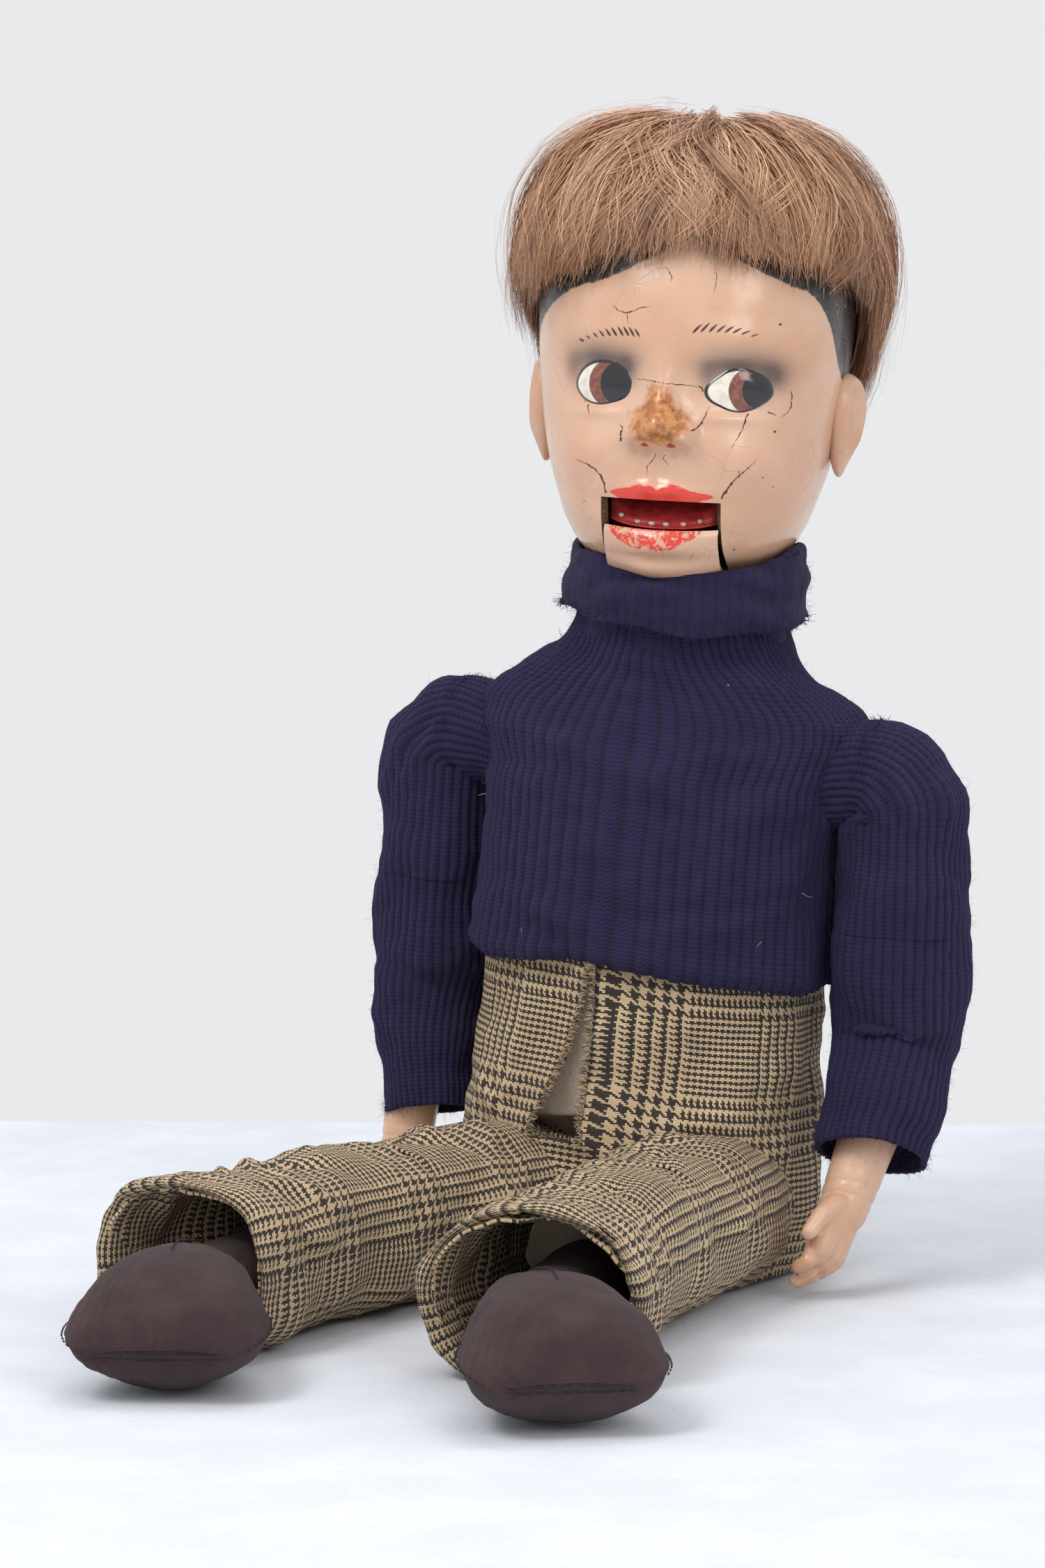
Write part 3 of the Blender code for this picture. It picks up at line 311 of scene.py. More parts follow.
def weld():
    bpy.ops.mesh.remove_doubles(threshold=0.00002)


def outward():
    bpy.ops.mesh.normals_make_consistent(inside=False)


def close_ends():
    bpy.ops.mesh.select_all(action="DESELECT")
    bpy.ops.mesh.select_non_manifold(extend=False)
    bpy.ops.mesh.fill_holes(sides=0)
    bpy.ops.mesh.select_all(action="SELECT")


def modify(made, kind, **settings):
    pick(made)
    modifier = made.modifiers.new(kind.lower(), kind)
    for key, value in settings.items():
        setattr(modifier, key, value)
    bpy.ops.object.modifier_apply(modifier=modifier.name)
    return made


def remeshed(made, voxel, rounds):
    """Melts joined shapes into one skin and smooths it."""
    made.data.remesh_voxel_size = voxel
    made.data.remesh_voxel_adaptivity = 0
    pick(made)
    bpy.ops.object.voxel_remesh()
    return modify(made, "SMOOTH", factor=0.5, iterations=rounds)


def block(low, high, matrix):
    """A box between two corners in a frame, in millimetres."""
    deselect()
    low, high = np.array(low, float), np.array(high, float)
    bpy.ops.mesh.primitive_cube_add(size=1)
    made = bpy.context.object
    put(made, moved(matrix, coordinates(made) * (high - low) + (high + low) / 2))
    return made


def finish(made, material, angle=None):
    made.data.materials.clear()
    for one in material if isinstance(material, (list, tuple)) else (material,):
        made.data.materials.append(one)
    pick(made)
    bpy.ops.object.shade_smooth()
    if angle:
        bpy.ops.object.shade_smooth_by_angle(angle=math.radians(angle))
    deselect()
    return made


def attribute(made, name, values):
    found = made.data.attributes.new(name, "FLOAT", "POINT")
    found.data.foreach_set("value", np.asarray(values, np.float32))


def joined(name, pieces):
    deselect()
    for piece in pieces:
        piece.select_set(True)
    bpy.context.view_layer.objects.active = pieces[0]
    if len(pieces) > 1:
        bpy.ops.object.join()
    made = bpy.context.view_layer.objects.active
    made.name = made.data.name = name
    deselect()
    return made


def folds(points, outward_normals, creases):
    """Raises ridges, or presses creases with a negative height, along lines given by their ends."""
    found = points.copy()
    for ax, ay, az, bx, by, bz, width, height in creases:
        a, b = np.array((ax, ay, az)) * MM, np.array((bx, by, bz)) * MM
        line = b - a
        t = np.clip(((points - a) @ line) / (line @ line), 0, 1)
        off = np.linalg.norm(points - a - t[:, None] * line, axis=1)
        fade = np.clip(1.3 - 1.1 * np.abs(2 * t - 1), 0, 1)
        found += outward_normals * (height * MM * fade * bell(off, 0, width * MM))[:, None]
    return found


def in_frame(matrix, creases):
    """Creases given in a frame, as creases in the row frame."""
    found = []
    for crease in creases:
        ends = moved(matrix, np.array(crease[:6], float).reshape(2, 3)) / MM
        found.append((*ends.ravel(), *crease[6:]))
    return found


# ---------------------------------------------------------------- material nodes
class Paint:
    """Lays out one material's nodes."""

    def __init__(self, name, colour=(0.5, 0.5, 0.5), roughness=0.5, **fixed):
        self.material = bpy.data.materials.new(name)
        self.material.use_nodes = True
        self.tree = self.material.node_tree
        self.shader = self.tree.nodes["Principled BSDF"]
        self.shader.inputs["Base Color"].default_value = (*colour, 1)
        self.shader.inputs["Roughness"].default_value = roughness
        for key, value in fixed.items():
            self.shader.inputs[key.replace("_", " ")].default_value = value

    def node(self, kind, **settings):
        made = self.tree.nodes.new("ShaderNode" + kind)
        for key, value in settings.items():
            setattr(made, key, value)
        return made

    def feed(self, socket, value):
        if isinstance(value, bpy.types.NodeSocket):
            self.tree.links.new(value, socket)
        elif value is not None:
            socket.default_value = value

    def math(self, operation, a, b=None, c=None):
        made = self.node("Math", operation=operation)
        for socket, value in zip(made.inputs, (a, b, c)):
            self.feed(socket, value)
        return made.outputs[0]

    def times(self, a, b):
        return self.math("MULTIPLY", a, b)

    def plus(self, a, b):
        return self.math("ADD", a, b)

    def minus(self, a, b):
        return self.math("SUBTRACT", a, b)

    def colour(self, value):
        return (*value, 1) if isinstance(value, tuple) and len(value) == 3 else value

    def mix(self, factor, a, b):
        made = self.node("Mix", data_type="RGBA")
        self.feed(made.inputs[0], factor)
        self.feed(made.inputs[6], self.colour(a))
        self.feed(made.inputs[7], self.colour(b))
        return made.outputs[2]

    def object_place(self):
        return self.node("TexCoord").outputs["Object"]

    def uv(self):
        return self.node("TexCoord").outputs["UV"]

    def split(self, vector):
        made = self.node("SeparateXYZ")
        self.feed(made.inputs[0], vector)
        return made.outputs[0], made.outputs[1], made.outputs[2]

    def read(self, name):
        return self.node("Attribute", attribute_name=name).outputs["Fac"]

    def stretch(self, vector, scale):
        made = self.node("Mapping")
        self.feed(made.inputs["Vector"], vector)
        made.inputs["Scale"].default_value = scale
        return made.outputs[0]

    def noise(self, vector, size, detail=3.0, roughness=0.55):
        """Noise with lumps of about this size, in metres."""
        made = self.node("TexNoise")
        self.feed(made.inputs["Vector"], vector)
        made.inputs["Scale"].default_value = 1 / size
        made.inputs["Detail"].default_value = detail
        made.inputs["Roughness"].default_value = roughness
        return made.outputs[0]

    def cells(self, vector, size, feature="F1"):
        made = self.node("TexVoronoi", feature=feature)
        self.feed(made.inputs["Vector"], vector)
        made.inputs["Scale"].default_value = 1 / size
        return made.outputs[0]

    def ramp(self, value, low, high, to_low=0.0, to_high=1.0):
        made = self.node("MapRange", interpolation_type="SMOOTHSTEP")
        self.feed(made.inputs[0], value)
        for index, number in enumerate((low, high, to_low, to_high)):
            made.inputs[index + 1].default_value = number
        return made.outputs[0]

    def bump(self, height, distance, strength=1.0):
        made = self.node("Bump")
        made.inputs["Strength"].default_value = strength
        made.inputs["Distance"].default_value = distance
        self.feed(made.inputs["Height"], height)
        self.tree.links.new(made.outputs[0], self.shader.inputs["Normal"])

    def base(self, colour):
        self.tree.links.new(colour, self.shader.inputs["Base Color"])

    def rough(self, value):
        self.tree.links.new(value, self.shader.inputs["Roughness"])


FLESH = (0.60, 0.345, 0.215)
FLESH_PALE = (0.66, 0.415, 0.285)
FLESH_DIRTY = (0.44, 0.225, 0.125)
LIP_RED = (0.72, 0.035, 0.018)
HAIR_BLACK = (0.022, 0.018, 0.018)
NAVY = (0.0125, 0.0068, 0.050)
TAN = (0.64, 0.48, 0.285)
CHECK_DARK = (0.030, 0.022, 0.020)


def composition_paint(name="composition_paint", mouth=False):
    """Old flesh paint: mottled, lightly crazed and grubby, with the painted features over it and painted
    shade in the eye sockets.
    """
    p = Paint(name, FLESH, 0.30, Coat_Weight=0.35, Coat_Roughness=0.16)
    at = p.object_place()
    wide = p.noise(at, 0.035, 2)
    fine = p.noise(at, 0.004, 4, 0.65)
    colour = p.mix(p.ramp(wide, 0.35, 0.68), FLESH, FLESH_PALE)
    colour = p.mix(p.ramp(fine, 0.60, 0.80, 0, 0.35), colour, FLESH_DIRTY)
    specks = p.ramp(p.cells(at, 0.0075), 0.0, 0.085, 1, 0)
    specks = p.times(specks, p.ramp(p.noise(at, 0.012, 1), 0.56, 0.60, 0, 0.8))
    colour = p.mix(specks, colour, (0.16, 0.08, 0.05))
    # painted shade: the upper eye sockets, under the brow ridge, are darkened
    colour = p.mix(p.times(p.read("shade"), 0.93), colour, (0.085, 0.055, 0.045))
    blush = p.times(p.read("blush"), 0.5)
    colour = p.mix(blush, colour, (0.72, 0.30, 0.20))
    worn = p.ramp(p.plus(p.read("worn"), p.times(p.noise(at, 0.006, 4), 0.7)), 0.62, 0.98)
    worn_colour = p.mix(p.ramp(p.noise(at, 0.0035, 3), 0.42, 0.60), (0.40, 0.135, 0.035), (0.60, 0.26, 0.085))
    worn_colour = p.mix(p.ramp(p.noise(at, 0.0016, 3), 0.55, 0.75), worn_colour, (0.15, 0.055, 0.03))
    colour = p.mix(worn, colour, worn_colour)
    grain = p.noise(at, 0.0022, 4, 0.7)
    edge = p.plus(p.read("lip"), p.times(p.minus(grain, 0.5), 1.1))
    lip = p.ramp(edge, -0.25, 0.15, 1, 0)
    chips = p.ramp(p.noise(at, 0.0028, 4, 0.75), 0.42 if mouth else 0.30, 0.50 if mouth else 0.36)
    lip = p.times(lip, chips)
    red = p.mix(p.ramp(fine, 0.4, 0.7), LIP_RED, (0.60, 0.055, 0.03))
    colour = p.mix(lip, colour, red)
    black_edge = p.plus(p.read("black"), p.times(p.minus(grain, 0.5), 3.0))
    black = p.ramp(black_edge, -0.4, 0.6, 1, 0)
    streaks = p.noise(p.stretch(at, (1, 1, 0.35)), 0.003, 3, 0.7)
    black = p.times(black, p.ramp(streaks, 0.31, 0.36))
    black_colour = p.mix(p.ramp(streaks, 0.5, 0.72), HAIR_BLACK, (0.075, 0.062, 0.06))
    colour = p.mix(black, colour, black_colour)
    crazing = p.ramp(p.cells(at, 0.011, "DISTANCE_TO_EDGE"), 0.0, 0.016, 1, 0)
    crazing = p.times(crazing, p.ramp(p.noise(at, 0.02, 2), 0.52, 0.66, 0, 0.42))
    colour = p.mix(crazing, colour, (0.22, 0.11, 0.07))
    p.base(colour)
    p.rough(p.ramp(fine, 0.3, 0.8, 0.22, 0.42))
    height = p.minus(p.times(fine, 0.35), crazing)
    p.bump(p.plus(height, p.times(black, 0.5)), 0.00012, 0.7)
    return p.material


def plain_composition(name, dirty=0.35):
    """The same flesh paint on the arms, where nothing is painted over it."""
    p = Paint(name, FLESH, 0.36, Coat_Weight=0.15, Coat_Roughness=0.25)
    at = p.object_place()
    fine = p.noise(at, 0.004, 4, 0.65)
    colour = p.mix(p.ramp(p.noise(at, 0.025, 2), 0.35, 0.68), FLESH, FLESH_PALE)
    colour = p.mix(p.ramp(fine, 0.56, 0.78, 0, dirty + 0.2), colour, FLESH_DIRTY)
    chips = p.ramp(p.noise(at, 0.007, 5, 0.75), 0.72, 0.75)
    colour = p.mix(chips, colour, (0.24, 0.12, 0.06))
    p.base(colour)
    p.rough(p.ramp(fine, 0.3, 0.8, 0.28, 0.48))
    p.bump(p.minus(p.times(fine, 0.4), chips), 0.00015, 0.7)
    return p.material


def pulp_colour_and_painted_shade():
    """The brown pulp that shows where the shells are cut, made darker than the pulp as painted shade on the
    walls of the mouth slot.
    """
    p = Paint("composition_edge", (0.12, 0.065, 0.035), 0.85)
    at = p.object_place()
    crumbs = p.noise(at, 0.0012, 4, 0.7)
    # pulp colour darkened as painted shade inside the mouth slot; the same colour goes on every cut edge
    p.base(p.mix(p.ramp(crumbs, 0.35, 0.7), (0.07, 0.035, 0.02), (0.20, 0.12, 0.065)))
    p.bump(crumbs, 0.0004)
    return p.material


def eye_paint(name, iris, pupil, iris_size, pupil_size):
    """Painted eye: dull white, brown iris, big black pupil, chips, and a dark outline."""
    p = Paint(name, (0.8, 0.76, 0.66), 0.16, Coat_Weight=0.6, Coat_Roughness=0.08)
    uv = p.uv()
    u, v, _ = p.split(uv)

    def disc(centre, size, soft):
        across = p.math("DIVIDE", p.minus(u, centre[0] * MM), size[0] * MM)
        up = p.math("DIVIDE", p.minus(v, centre[1] * MM), size[1] * MM)
        reach = p.plus(p.times(across, across), p.times(up, up))
        return p.ramp(reach, 1 - soft, 1 + soft, 1, 0)

    dull = p.noise(uv, 0.003, 4, 0.6)
    colour = p.mix(p.ramp(dull, 0.4, 0.75), (0.80, 0.75, 0.64), (0.60, 0.53, 0.42))
    brown = p.mix(p.ramp(p.noise(uv, 0.0018, 3), 0.4, 0.65), (0.165, 0.042, 0.026), (0.26, 0.085, 0.055))
    colour = p.mix(disc(iris, iris_size, 0.04), colour, brown)
    colour = p.mix(disc(pupil, pupil_size, 0.03), colour, (0.006, 0.006, 0.008))
    chips = p.ramp(p.noise(p.stretch(uv, (1, 0.45, 1)), 0.0026, 4, 0.75), 0.665, 0.685)
    colour = p.mix(chips, colour, (0.50, 0.22, 0.17))
    colour = p.mix(p.ramp(p.read("rim"), 0.86, 0.90), colour, (0.012, 0.009, 0.011))
    p.base(colour)
    p.bump(p.minus(1.0, chips), 0.00008, 0.8)
    return p.material


def plain_paint(name, colour, other, size=0.002, roughness=0.6, depth=0.0001, **fixed):
    """One finish that varies between two tones, with a fine grain."""
    p = Paint(name, colour, roughness, **fixed)
    at = p.object_place()
    grain = p.noise(at, size, 4, 0.65)
    p.base(p.mix(p.ramp(grain, 0.38, 0.66), colour, other))
    p.bump(grain, depth)
    return p.material


def knit_wool(name="navy_knit_wool"):
    """Old navy wool: stocking stitches on the ribs, painted shade between stitches and ribs, fluff and bits
    of lint.
    """
    p = Paint(name, NAVY, 0.95, Sheen_Weight=0.05, Sheen_Roughness=0.5)
    p.shader.inputs["Sheen Tint"].default_value = (0.30, 0.24, 0.52, 1)
    uv = p.uv()
    at = p.object_place()
    u, v, _ = p.split(uv)
    slant = p.math("ABSOLUTE", p.math("SINE", p.times(u, 2 * math.pi / 0.0032)))
    row = p.plus(p.math("DIVIDE", v, 0.0017), p.times(slant, 0.45))
    stitch = p.math("ABSOLUTE", p.math("SINE", p.times(row, math.pi)))
    stitch = p.math("POWER", stitch, 0.6)
    fluff = p.noise(at, 0.0011, 4, 0.8)
    faded = p.noise(at, 0.03, 3)
    colour = p.mix(p.ramp(faded, 0.35, 0.7), NAVY, (0.016, 0.0105, 0.055))
    # painted shade in the gaps between the stitches
    colour = p.mix(p.ramp(stitch, 0.15, 0.75, 0.55, 0), colour, (0.0035, 0.0022, 0.012))
    colour = p.mix(p.ramp(fluff, 0.55, 0.85, 0, 0.5), colour, (0.034, 0.026, 0.085))
    # painted shade in the troughs between the ribs, which leaves their crests lighter
    colour = p.mix(p.ramp(p.read("crest"), 0.1, 0.6, 0.5, 0), colour, (0.004, 0.0025, 0.013))
    lint = p.ramp(p.cells(at, 0.017), 0.0, 0.045, 1, 0)
    lint = p.times(lint, p.ramp(p.noise(at, 0.02, 1), 0.60, 0.62))
    colour = p.mix(lint, colour, (0.42, 0.36, 0.30))
    p.base(colour)
    height = p.plus(stitch, p.times(fluff, 0.9))
    p.bump(height, 0.0006, 0.9)
    return p.material


def check_cloth(name="glen_check_cloth"):
    """A glen check woven from tan and black threads in a two and two twill."""
    p = Paint(name, TAN, 0.92, Sheen_Weight=0.04, Sheen_Roughness=0.6)
    uv = p.uv()
    at = p.object_place()
    wander = p.times(p.minus(p.noise(at, 0.012, 2), 0.5), 0.0012)
    u, v, _ = p.split(uv)
    thread, repeat, broad_band = 0.00062, 88.0, 40.0

    def dark(count):
        """Whether a thread is dark: four and four in the broad band, two and two in the rest."""
        place_in = p.math("FLOORED_MODULO", count, repeat)
        broad = p.math("LESS_THAN", p.math("FLOORED_MODULO", place_in, 8.0), 4.0)
        narrow = p.math("LESS_THAN", p.math("FLOORED_MODULO", place_in, 4.0), 2.0)
        in_broad = p.math("LESS_THAN", place_in, broad_band)
        other = p.times(narrow, p.minus(1.0, in_broad))
        return p.plus(p.times(broad, in_broad), other)

    across = p.math("DIVIDE", p.plus(u, wander), thread)
    along = p.math("DIVIDE", p.plus(v, wander), thread)
    i, j = p.math("FLOOR", across), p.math("FLOOR", along)
    over = p.math("LESS_THAN", p.math("FLOORED_MODULO", p.plus(i, j), 4.0), 2.0)
    chosen = p.plus(p.times(dark(i), over), p.times(dark(j), p.minus(1.0, over)))
    fluff = p.noise(at, 0.0008, 3, 0.8)
    aged = p.noise(at, 0.04, 3)
    light = p.mix(p.ramp(aged, 0.35, 0.7), TAN, (0.54, 0.39, 0.225))
    light = p.mix(p.ramp(fluff, 0.4, 0.8, 0, 0.4), light, (0.36, 0.26, 0.155))
    deep = p.mix(p.ramp(fluff, 0.5, 0.8, 0, 0.5), CHECK_DARK, (0.11, 0.075, 0.05))
    p.base(p.mix(chosen, light, deep))
    yarn_u = p.math("ABSOLUTE", p.math("SINE", p.times(across, math.pi)))
    yarn_v = p.math("ABSOLUTE", p.math("SINE", p.times(along, math.pi)))
    yarns = p.plus(p.times(yarn_u, over), p.times(yarn_v, p.minus(1.0, over)))
    p.bump(p.plus(yarns, p.times(fluff, 0.8)), 0.0003, 0.8)
    return p.material


def cotton(name, colour, faded, thread=0.0007, roughness=0.85, sheen=0.15):
    """Plain woven cotton with soft fading, and painted shade in the dips of the weave."""
    p = Paint(name, colour, roughness, Sheen_Weight=sheen, Sheen_Roughness=0.5)
    uv, at = p.uv(), p.object_place()
    u, v, _ = p.split(uv)
    warp = p.math("SINE", p.times(u, 2 * math.pi / thread))
    weft = p.math("SINE", p.times(v, 2 * math.pi / thread))
    weave = p.times(warp, weft)
    patch = p.noise(at, 0.022, 4, 0.6)
    tone = p.mix(p.ramp(patch, 0.35, 0.7), colour, faded)
    # painted shade: the cotton's own colour, darkened, in the dips between the threads
    dark = tuple(0.45 * c for c in colour)
    tone = p.mix(p.ramp(weave, -1, 1, 0.3, 0), tone, dark)
    p.base(tone)
    p.bump(p.plus(weave, p.noise(at, 0.0015, 3)), 0.00018, 0.7)
    return p.material


def mohair():
    p = Paint("mohair_wig", (0.50, 0.25, 0.13), 0.42, Anisotropic=0.3)
    tone = p.read("tone")
    colour = p.mix(p.ramp(tone, 0.0, 0.55), (0.17, 0.070, 0.032), (0.54, 0.290, 0.160))
    colour = p.mix(p.ramp(tone, 0.5, 1.0), colour, (0.80, 0.52, 0.345))
    p.base(colour)
    return p.material


COMPOSITION = composition_paint()
JAW_PAINT = composition_paint("jaw_paint", True)
ARM_PAINT = plain_composition("arm_composition")
EDGE = pulp_colour_and_painted_shade()
KNIT = knit_wool()
CHECK = check_cloth()
BROWN = cotton("brown_stocking_cotton", (0.036, 0.0150, 0.0165), (0.062, 0.029, 0.031), sheen=0.04)
TICKING = cotton("beige_body_cotton", (0.42, 0.33, 0.25), (0.50, 0.41, 0.32))
TICKING_PLAIN = plain_paint("beige_body_cloth", (0.42, 0.33, 0.25), (0.50, 0.41, 0.32), 0.0009, 0.9, 0.0002)
HAIR = mohair()
RED = plain_paint("mouth_red", (0.50, 0.040, 0.035), (0.30, 0.020, 0.020), 0.004, 0.35)
TOOTH = plain_paint("tooth_white", (0.62, 0.56, 0.46), (0.40, 0.34, 0.26), 0.001, 0.35)
CRACK = plain_paint("crack_dark", (0.055, 0.026, 0.018), (0.11, 0.055, 0.035), 0.001, 0.9)
BROW = plain_paint("brow_maroon", (0.060, 0.016, 0.017), (0.12, 0.04, 0.035), 0.0012, 0.45)
NOSTRIL = plain_paint("nostril_red", (0.50, 0.045, 0.025), (0.35, 0.03, 0.02), 0.001, 0.4)
THREAD = plain_paint("dark_thread", (0.016, 0.010, 0.012), (0.035, 0.022, 0.022), 0.0006, 0.9)
FRAY_TAN = plain_paint("frayed_tan", (0.50, 0.37, 0.22), (0.34, 0.24, 0.14), 0.002, 0.95)
FRAY_DARK = plain_paint("frayed_dark", (0.035, 0.026, 0.022), (0.06, 0.045, 0.035), 0.002, 0.95)
WOOL_END = plain_paint("navy_wool_ends", (0.014, 0.009, 0.048), (0.028, 0.020, 0.075), 0.002, 0.95)
WOOD = plain_paint("turned_wood", (0.50, 0.33, 0.18), (0.38, 0.23, 0.12), 0.004, 0.6)
STEEL = plain_paint("steel_wire", (0.45, 0.45, 0.46), (0.30, 0.26, 0.22), 0.002, 0.35, Metallic=1.0)
BRASS = plain_paint("old_brass", (0.55, 0.38, 0.15), (0.30, 0.20, 0.09), 0.002, 0.38, Metallic=1.0)
CORD = plain_paint("tie_cord", (0.50, 0.43, 0.31), (0.34, 0.28, 0.19), 0.0008, 0.92)


# ---------------------------------------------------------------- head surface
def face_form(x, z):
    """How far the modelled features stand out of the plain head, in millimetres."""
    proud = np.zeros_like(x)
    for cx, cz, height, half_width, half_height in FACE_FORMS:
        for way in (1, -1) if cx else (1,):
            proud += height * mound(x, z, way * cx, cz, half_width, half_height)
    return proud


def head_at(turn, z, growth=0.0, face=True):
    """A point of the head's outside in its own frame, in millimetres."""
    share = z / HEAD_HEIGHT
    width, front, back = profile(HEAD_ROWS, share)
    x, y = rounded(
        turn,
        HEAD_HALF_WIDTH * width + growth,
        HEAD_BACK * back + growth,
        HEAD_FRONT * front + growth,
        HEAD_POWER,
    )
    if face:
        y = np.where(y < 0, y - face_form(x, z) * np.minimum(1, -y / (0.5 * HEAD_FRONT)), y)
    up = growth * np.maximum(0, (share - 0.5) / 0.5) ** 2
    return np.stack([x, y, z + up], 1)


def on_face(x, z, lift=0.0):
    """The point of the face at a place across and up, stood off the surface by lift."""
    x, z = np.asarray(x, float), np.asarray(z, float)

    def depth(a, b):
        width, front, _ = profile(HEAD_ROWS, b / HEAD_HEIGHT)
        inside = np.clip(1 - (np.abs(a) / (HEAD_HALF_WIDTH * width)) ** HEAD_POWER, 1e-6, 1)
        y = -HEAD_FRONT * front * inside ** (1 / HEAD_POWER)
        return y - face_form(a, b) * np.minimum(1, -y / (0.5 * HEAD_FRONT))

    y = depth(x, z)
    slope_x = (depth(x + 0.3, z) - depth(x - 0.3, z)) / 0.6
    slope_z = (depth(x, z + 0.3) - depth(x, z - 0.3)) / 0.6
    normal = np.stack([slope_x, -np.ones_like(x), slope_z], 1)
    normal /= np.linalg.norm(normal, axis=1)[:, None]
    return np.stack([x, y, z], 1) + normal * np.reshape(lift, (-1, 1))


def around(points):
    """The angle from the front of the head towards its left, in degrees."""
    return np.degrees(np.arctan2(points[:, 0], -points[:, 1]))


def outline_distance(x, z, outline):
    """Signed distance to a closed outline in the plane of the face; negative inside."""
    corners = np.array(outline, float)
    inside = np.zeros(len(x), bool)
    nearest = np.full(len(x), 1e9)
    for a, b in zip(corners, np.roll(corners, -1, axis=0)):
        line = b - a
        t = np.clip(((x - a[0]) * line[0] + (z - a[1]) * line[1]) / (line @ line), 0, 1)
        nearest = np.minimum(nearest, np.hypot(x - a[0] - t * line[0], z - a[1] - t * line[1]))
        level_x = (b[0] - a[0]) * (z - a[1]) / (b[1] - a[1] + 1e-12) + a[0]
        inside ^= ((a[1] > z) != (b[1] > z)) & (x < level_x)
    return np.where(inside, -nearest, nearest)


UPPER_LIP = (
    (-21.0, 50.4), (-16.0, 51.6), (-11.0, 52.6), (-8.0, 53.8), (-5.2, 54.4), (-2.2, 53.4), (0.0, 51.9),
    (2.2, 53.6), (5.2, 54.6), (8.6, 53.8), (12.7, 52.2), (20.4, 51.0), (22.0, 50.2), (14.0, 47.4),
    (5.0, 47.0), (-5.0, 47.0), (-14.0, 47.2),
)
LOWER_LIP = (
    (-21.6, 48.5), (-19.4, 44.6), (-16.1, 42.0), (-11.1, 39.9), (-4.8, 38.9), (4.6, 39.6), (10.4, 42.0),
    (15.0, 45.0), (18.4, 48.5), (0.0, 60.0),
)
EYES = {
    "r": {
        "outline": (
            (-36.8, 90.3), (-34.9, 96.0), (-30.3, 99.6), (-23.7, 100.8), (-17.3, 99.2), (-13.0, 94.8),
            (-13.2, 88.6), (-20.0, 84.4), (-27.6, 83.4), (-33.8, 85.8),
        ),
        "iris": (-21.6, 91.8), "iris_size": (8.6, 9.2), "pupil": (-18.9, 91.9), "pupil_size": (6.3, 7.8),
    },
    "l": {
        "outline": (
            (15.6, 91.0), (19.7, 96.1), (24.0, 99.1), (28.9, 100.2), (34.8, 98.8), (39.5, 95.2), (40.6, 91.0),
            (36.4, 85.9), (28.9, 83.0), (22.4, 84.5),
        ),
        "iris": (33.4, 91.4), "iris_size": (8.4, 9.2), "pupil": (35.6, 91.8), "pupil_size": (5.6, 7.0),
    },
}
# (angle from the front, height) of the lower edge of the painted hair and of the wig's ends
PAINTED_EDGE = (
    (-180, 60), (-120, 76), (-98, 88), (-80, 98), (-66, 112), (-52, 122), (-38, 128.5), (-25, 132),
    (-10, 140), (4, 147.5), (14, 148.5), (30, 139.5), (45, 133), (58, 128), (66, 119), (76, 104), (92, 92),
    (120, 76), (180, 60),
)
WIG_EDGE = (
    (-180, 60), (-140, 70), (-112, 96), (-90, 118), (-62, 130), (-45, 134), (-26, 140), (-12, 145),
    (0, 149), (10, 150), (24, 146), (40, 142), (55, 140), (70, 139), (82, 135), (96, 124), (114, 98),
    (140, 71), (180, 60),
)


def edge_height(rows, angle):
    return profile(rows, angle)[0]


def ear_form(sign):
    """A moulded ear: a flattened ball with a rim, a hollow and a lobe."""
    deselect()
    bpy.ops.mesh.primitive_uv_sphere_add(segments=48, ring_count=32, radius=1)
    made = bpy.context.object
    p = coordinates(made)
    out, back, up = p[:, 0], p[:, 1], p[:, 2]
    wide = 1.0 + 0.18 * up - 0.16 * step(0.2, -1.0, up)
    reach = np.hypot(back * 1.05, up)
    hollow = mound(back, up, -0.05, 0.02, 0.42, 0.52)
    rim = bell(reach, 0.86, 0.16) * step(-0.9, -0.2, up)
    raised = np.where(out > 0, out * 4.4 + rim * 3.0 - hollow * 5.6 * out, out * 4.6)
    x = sign * (HEAD_HALF_WIDTH * 0.975 - 1.2 + raised + 3.6 * step(-0.5, 1.0, back) * step(-1, 0.6, up))
    y = SEAM_Y - 11.5 + back * 11.0 * wide - 1.5 * up
    z = 79.0 + up * 20.5
    put(made, moved(HEAD, np.stack([x, y, z], 1)))
    return edit(made, outward)


def head_solid(name, columns, rows, growth=0.0):
    """The whole head, closed at the crown and the neck, with most of its detail in front."""

    def shape(u, v):
        turn = u + 0.085 * np.sin(2 * np.pi * (u - 0.25))
        height = profile(((0, -8), (0.10, 16), (0.25, 44), (0.72, 122), (0.9, 164), (1, 182.6)), v)[0]
        points = head_at(turn, height, growth)
        return moved(HEAD, points)

    made = laid(name, shape, columns, rows)
    return edit(made, weld, close_ends, outward)


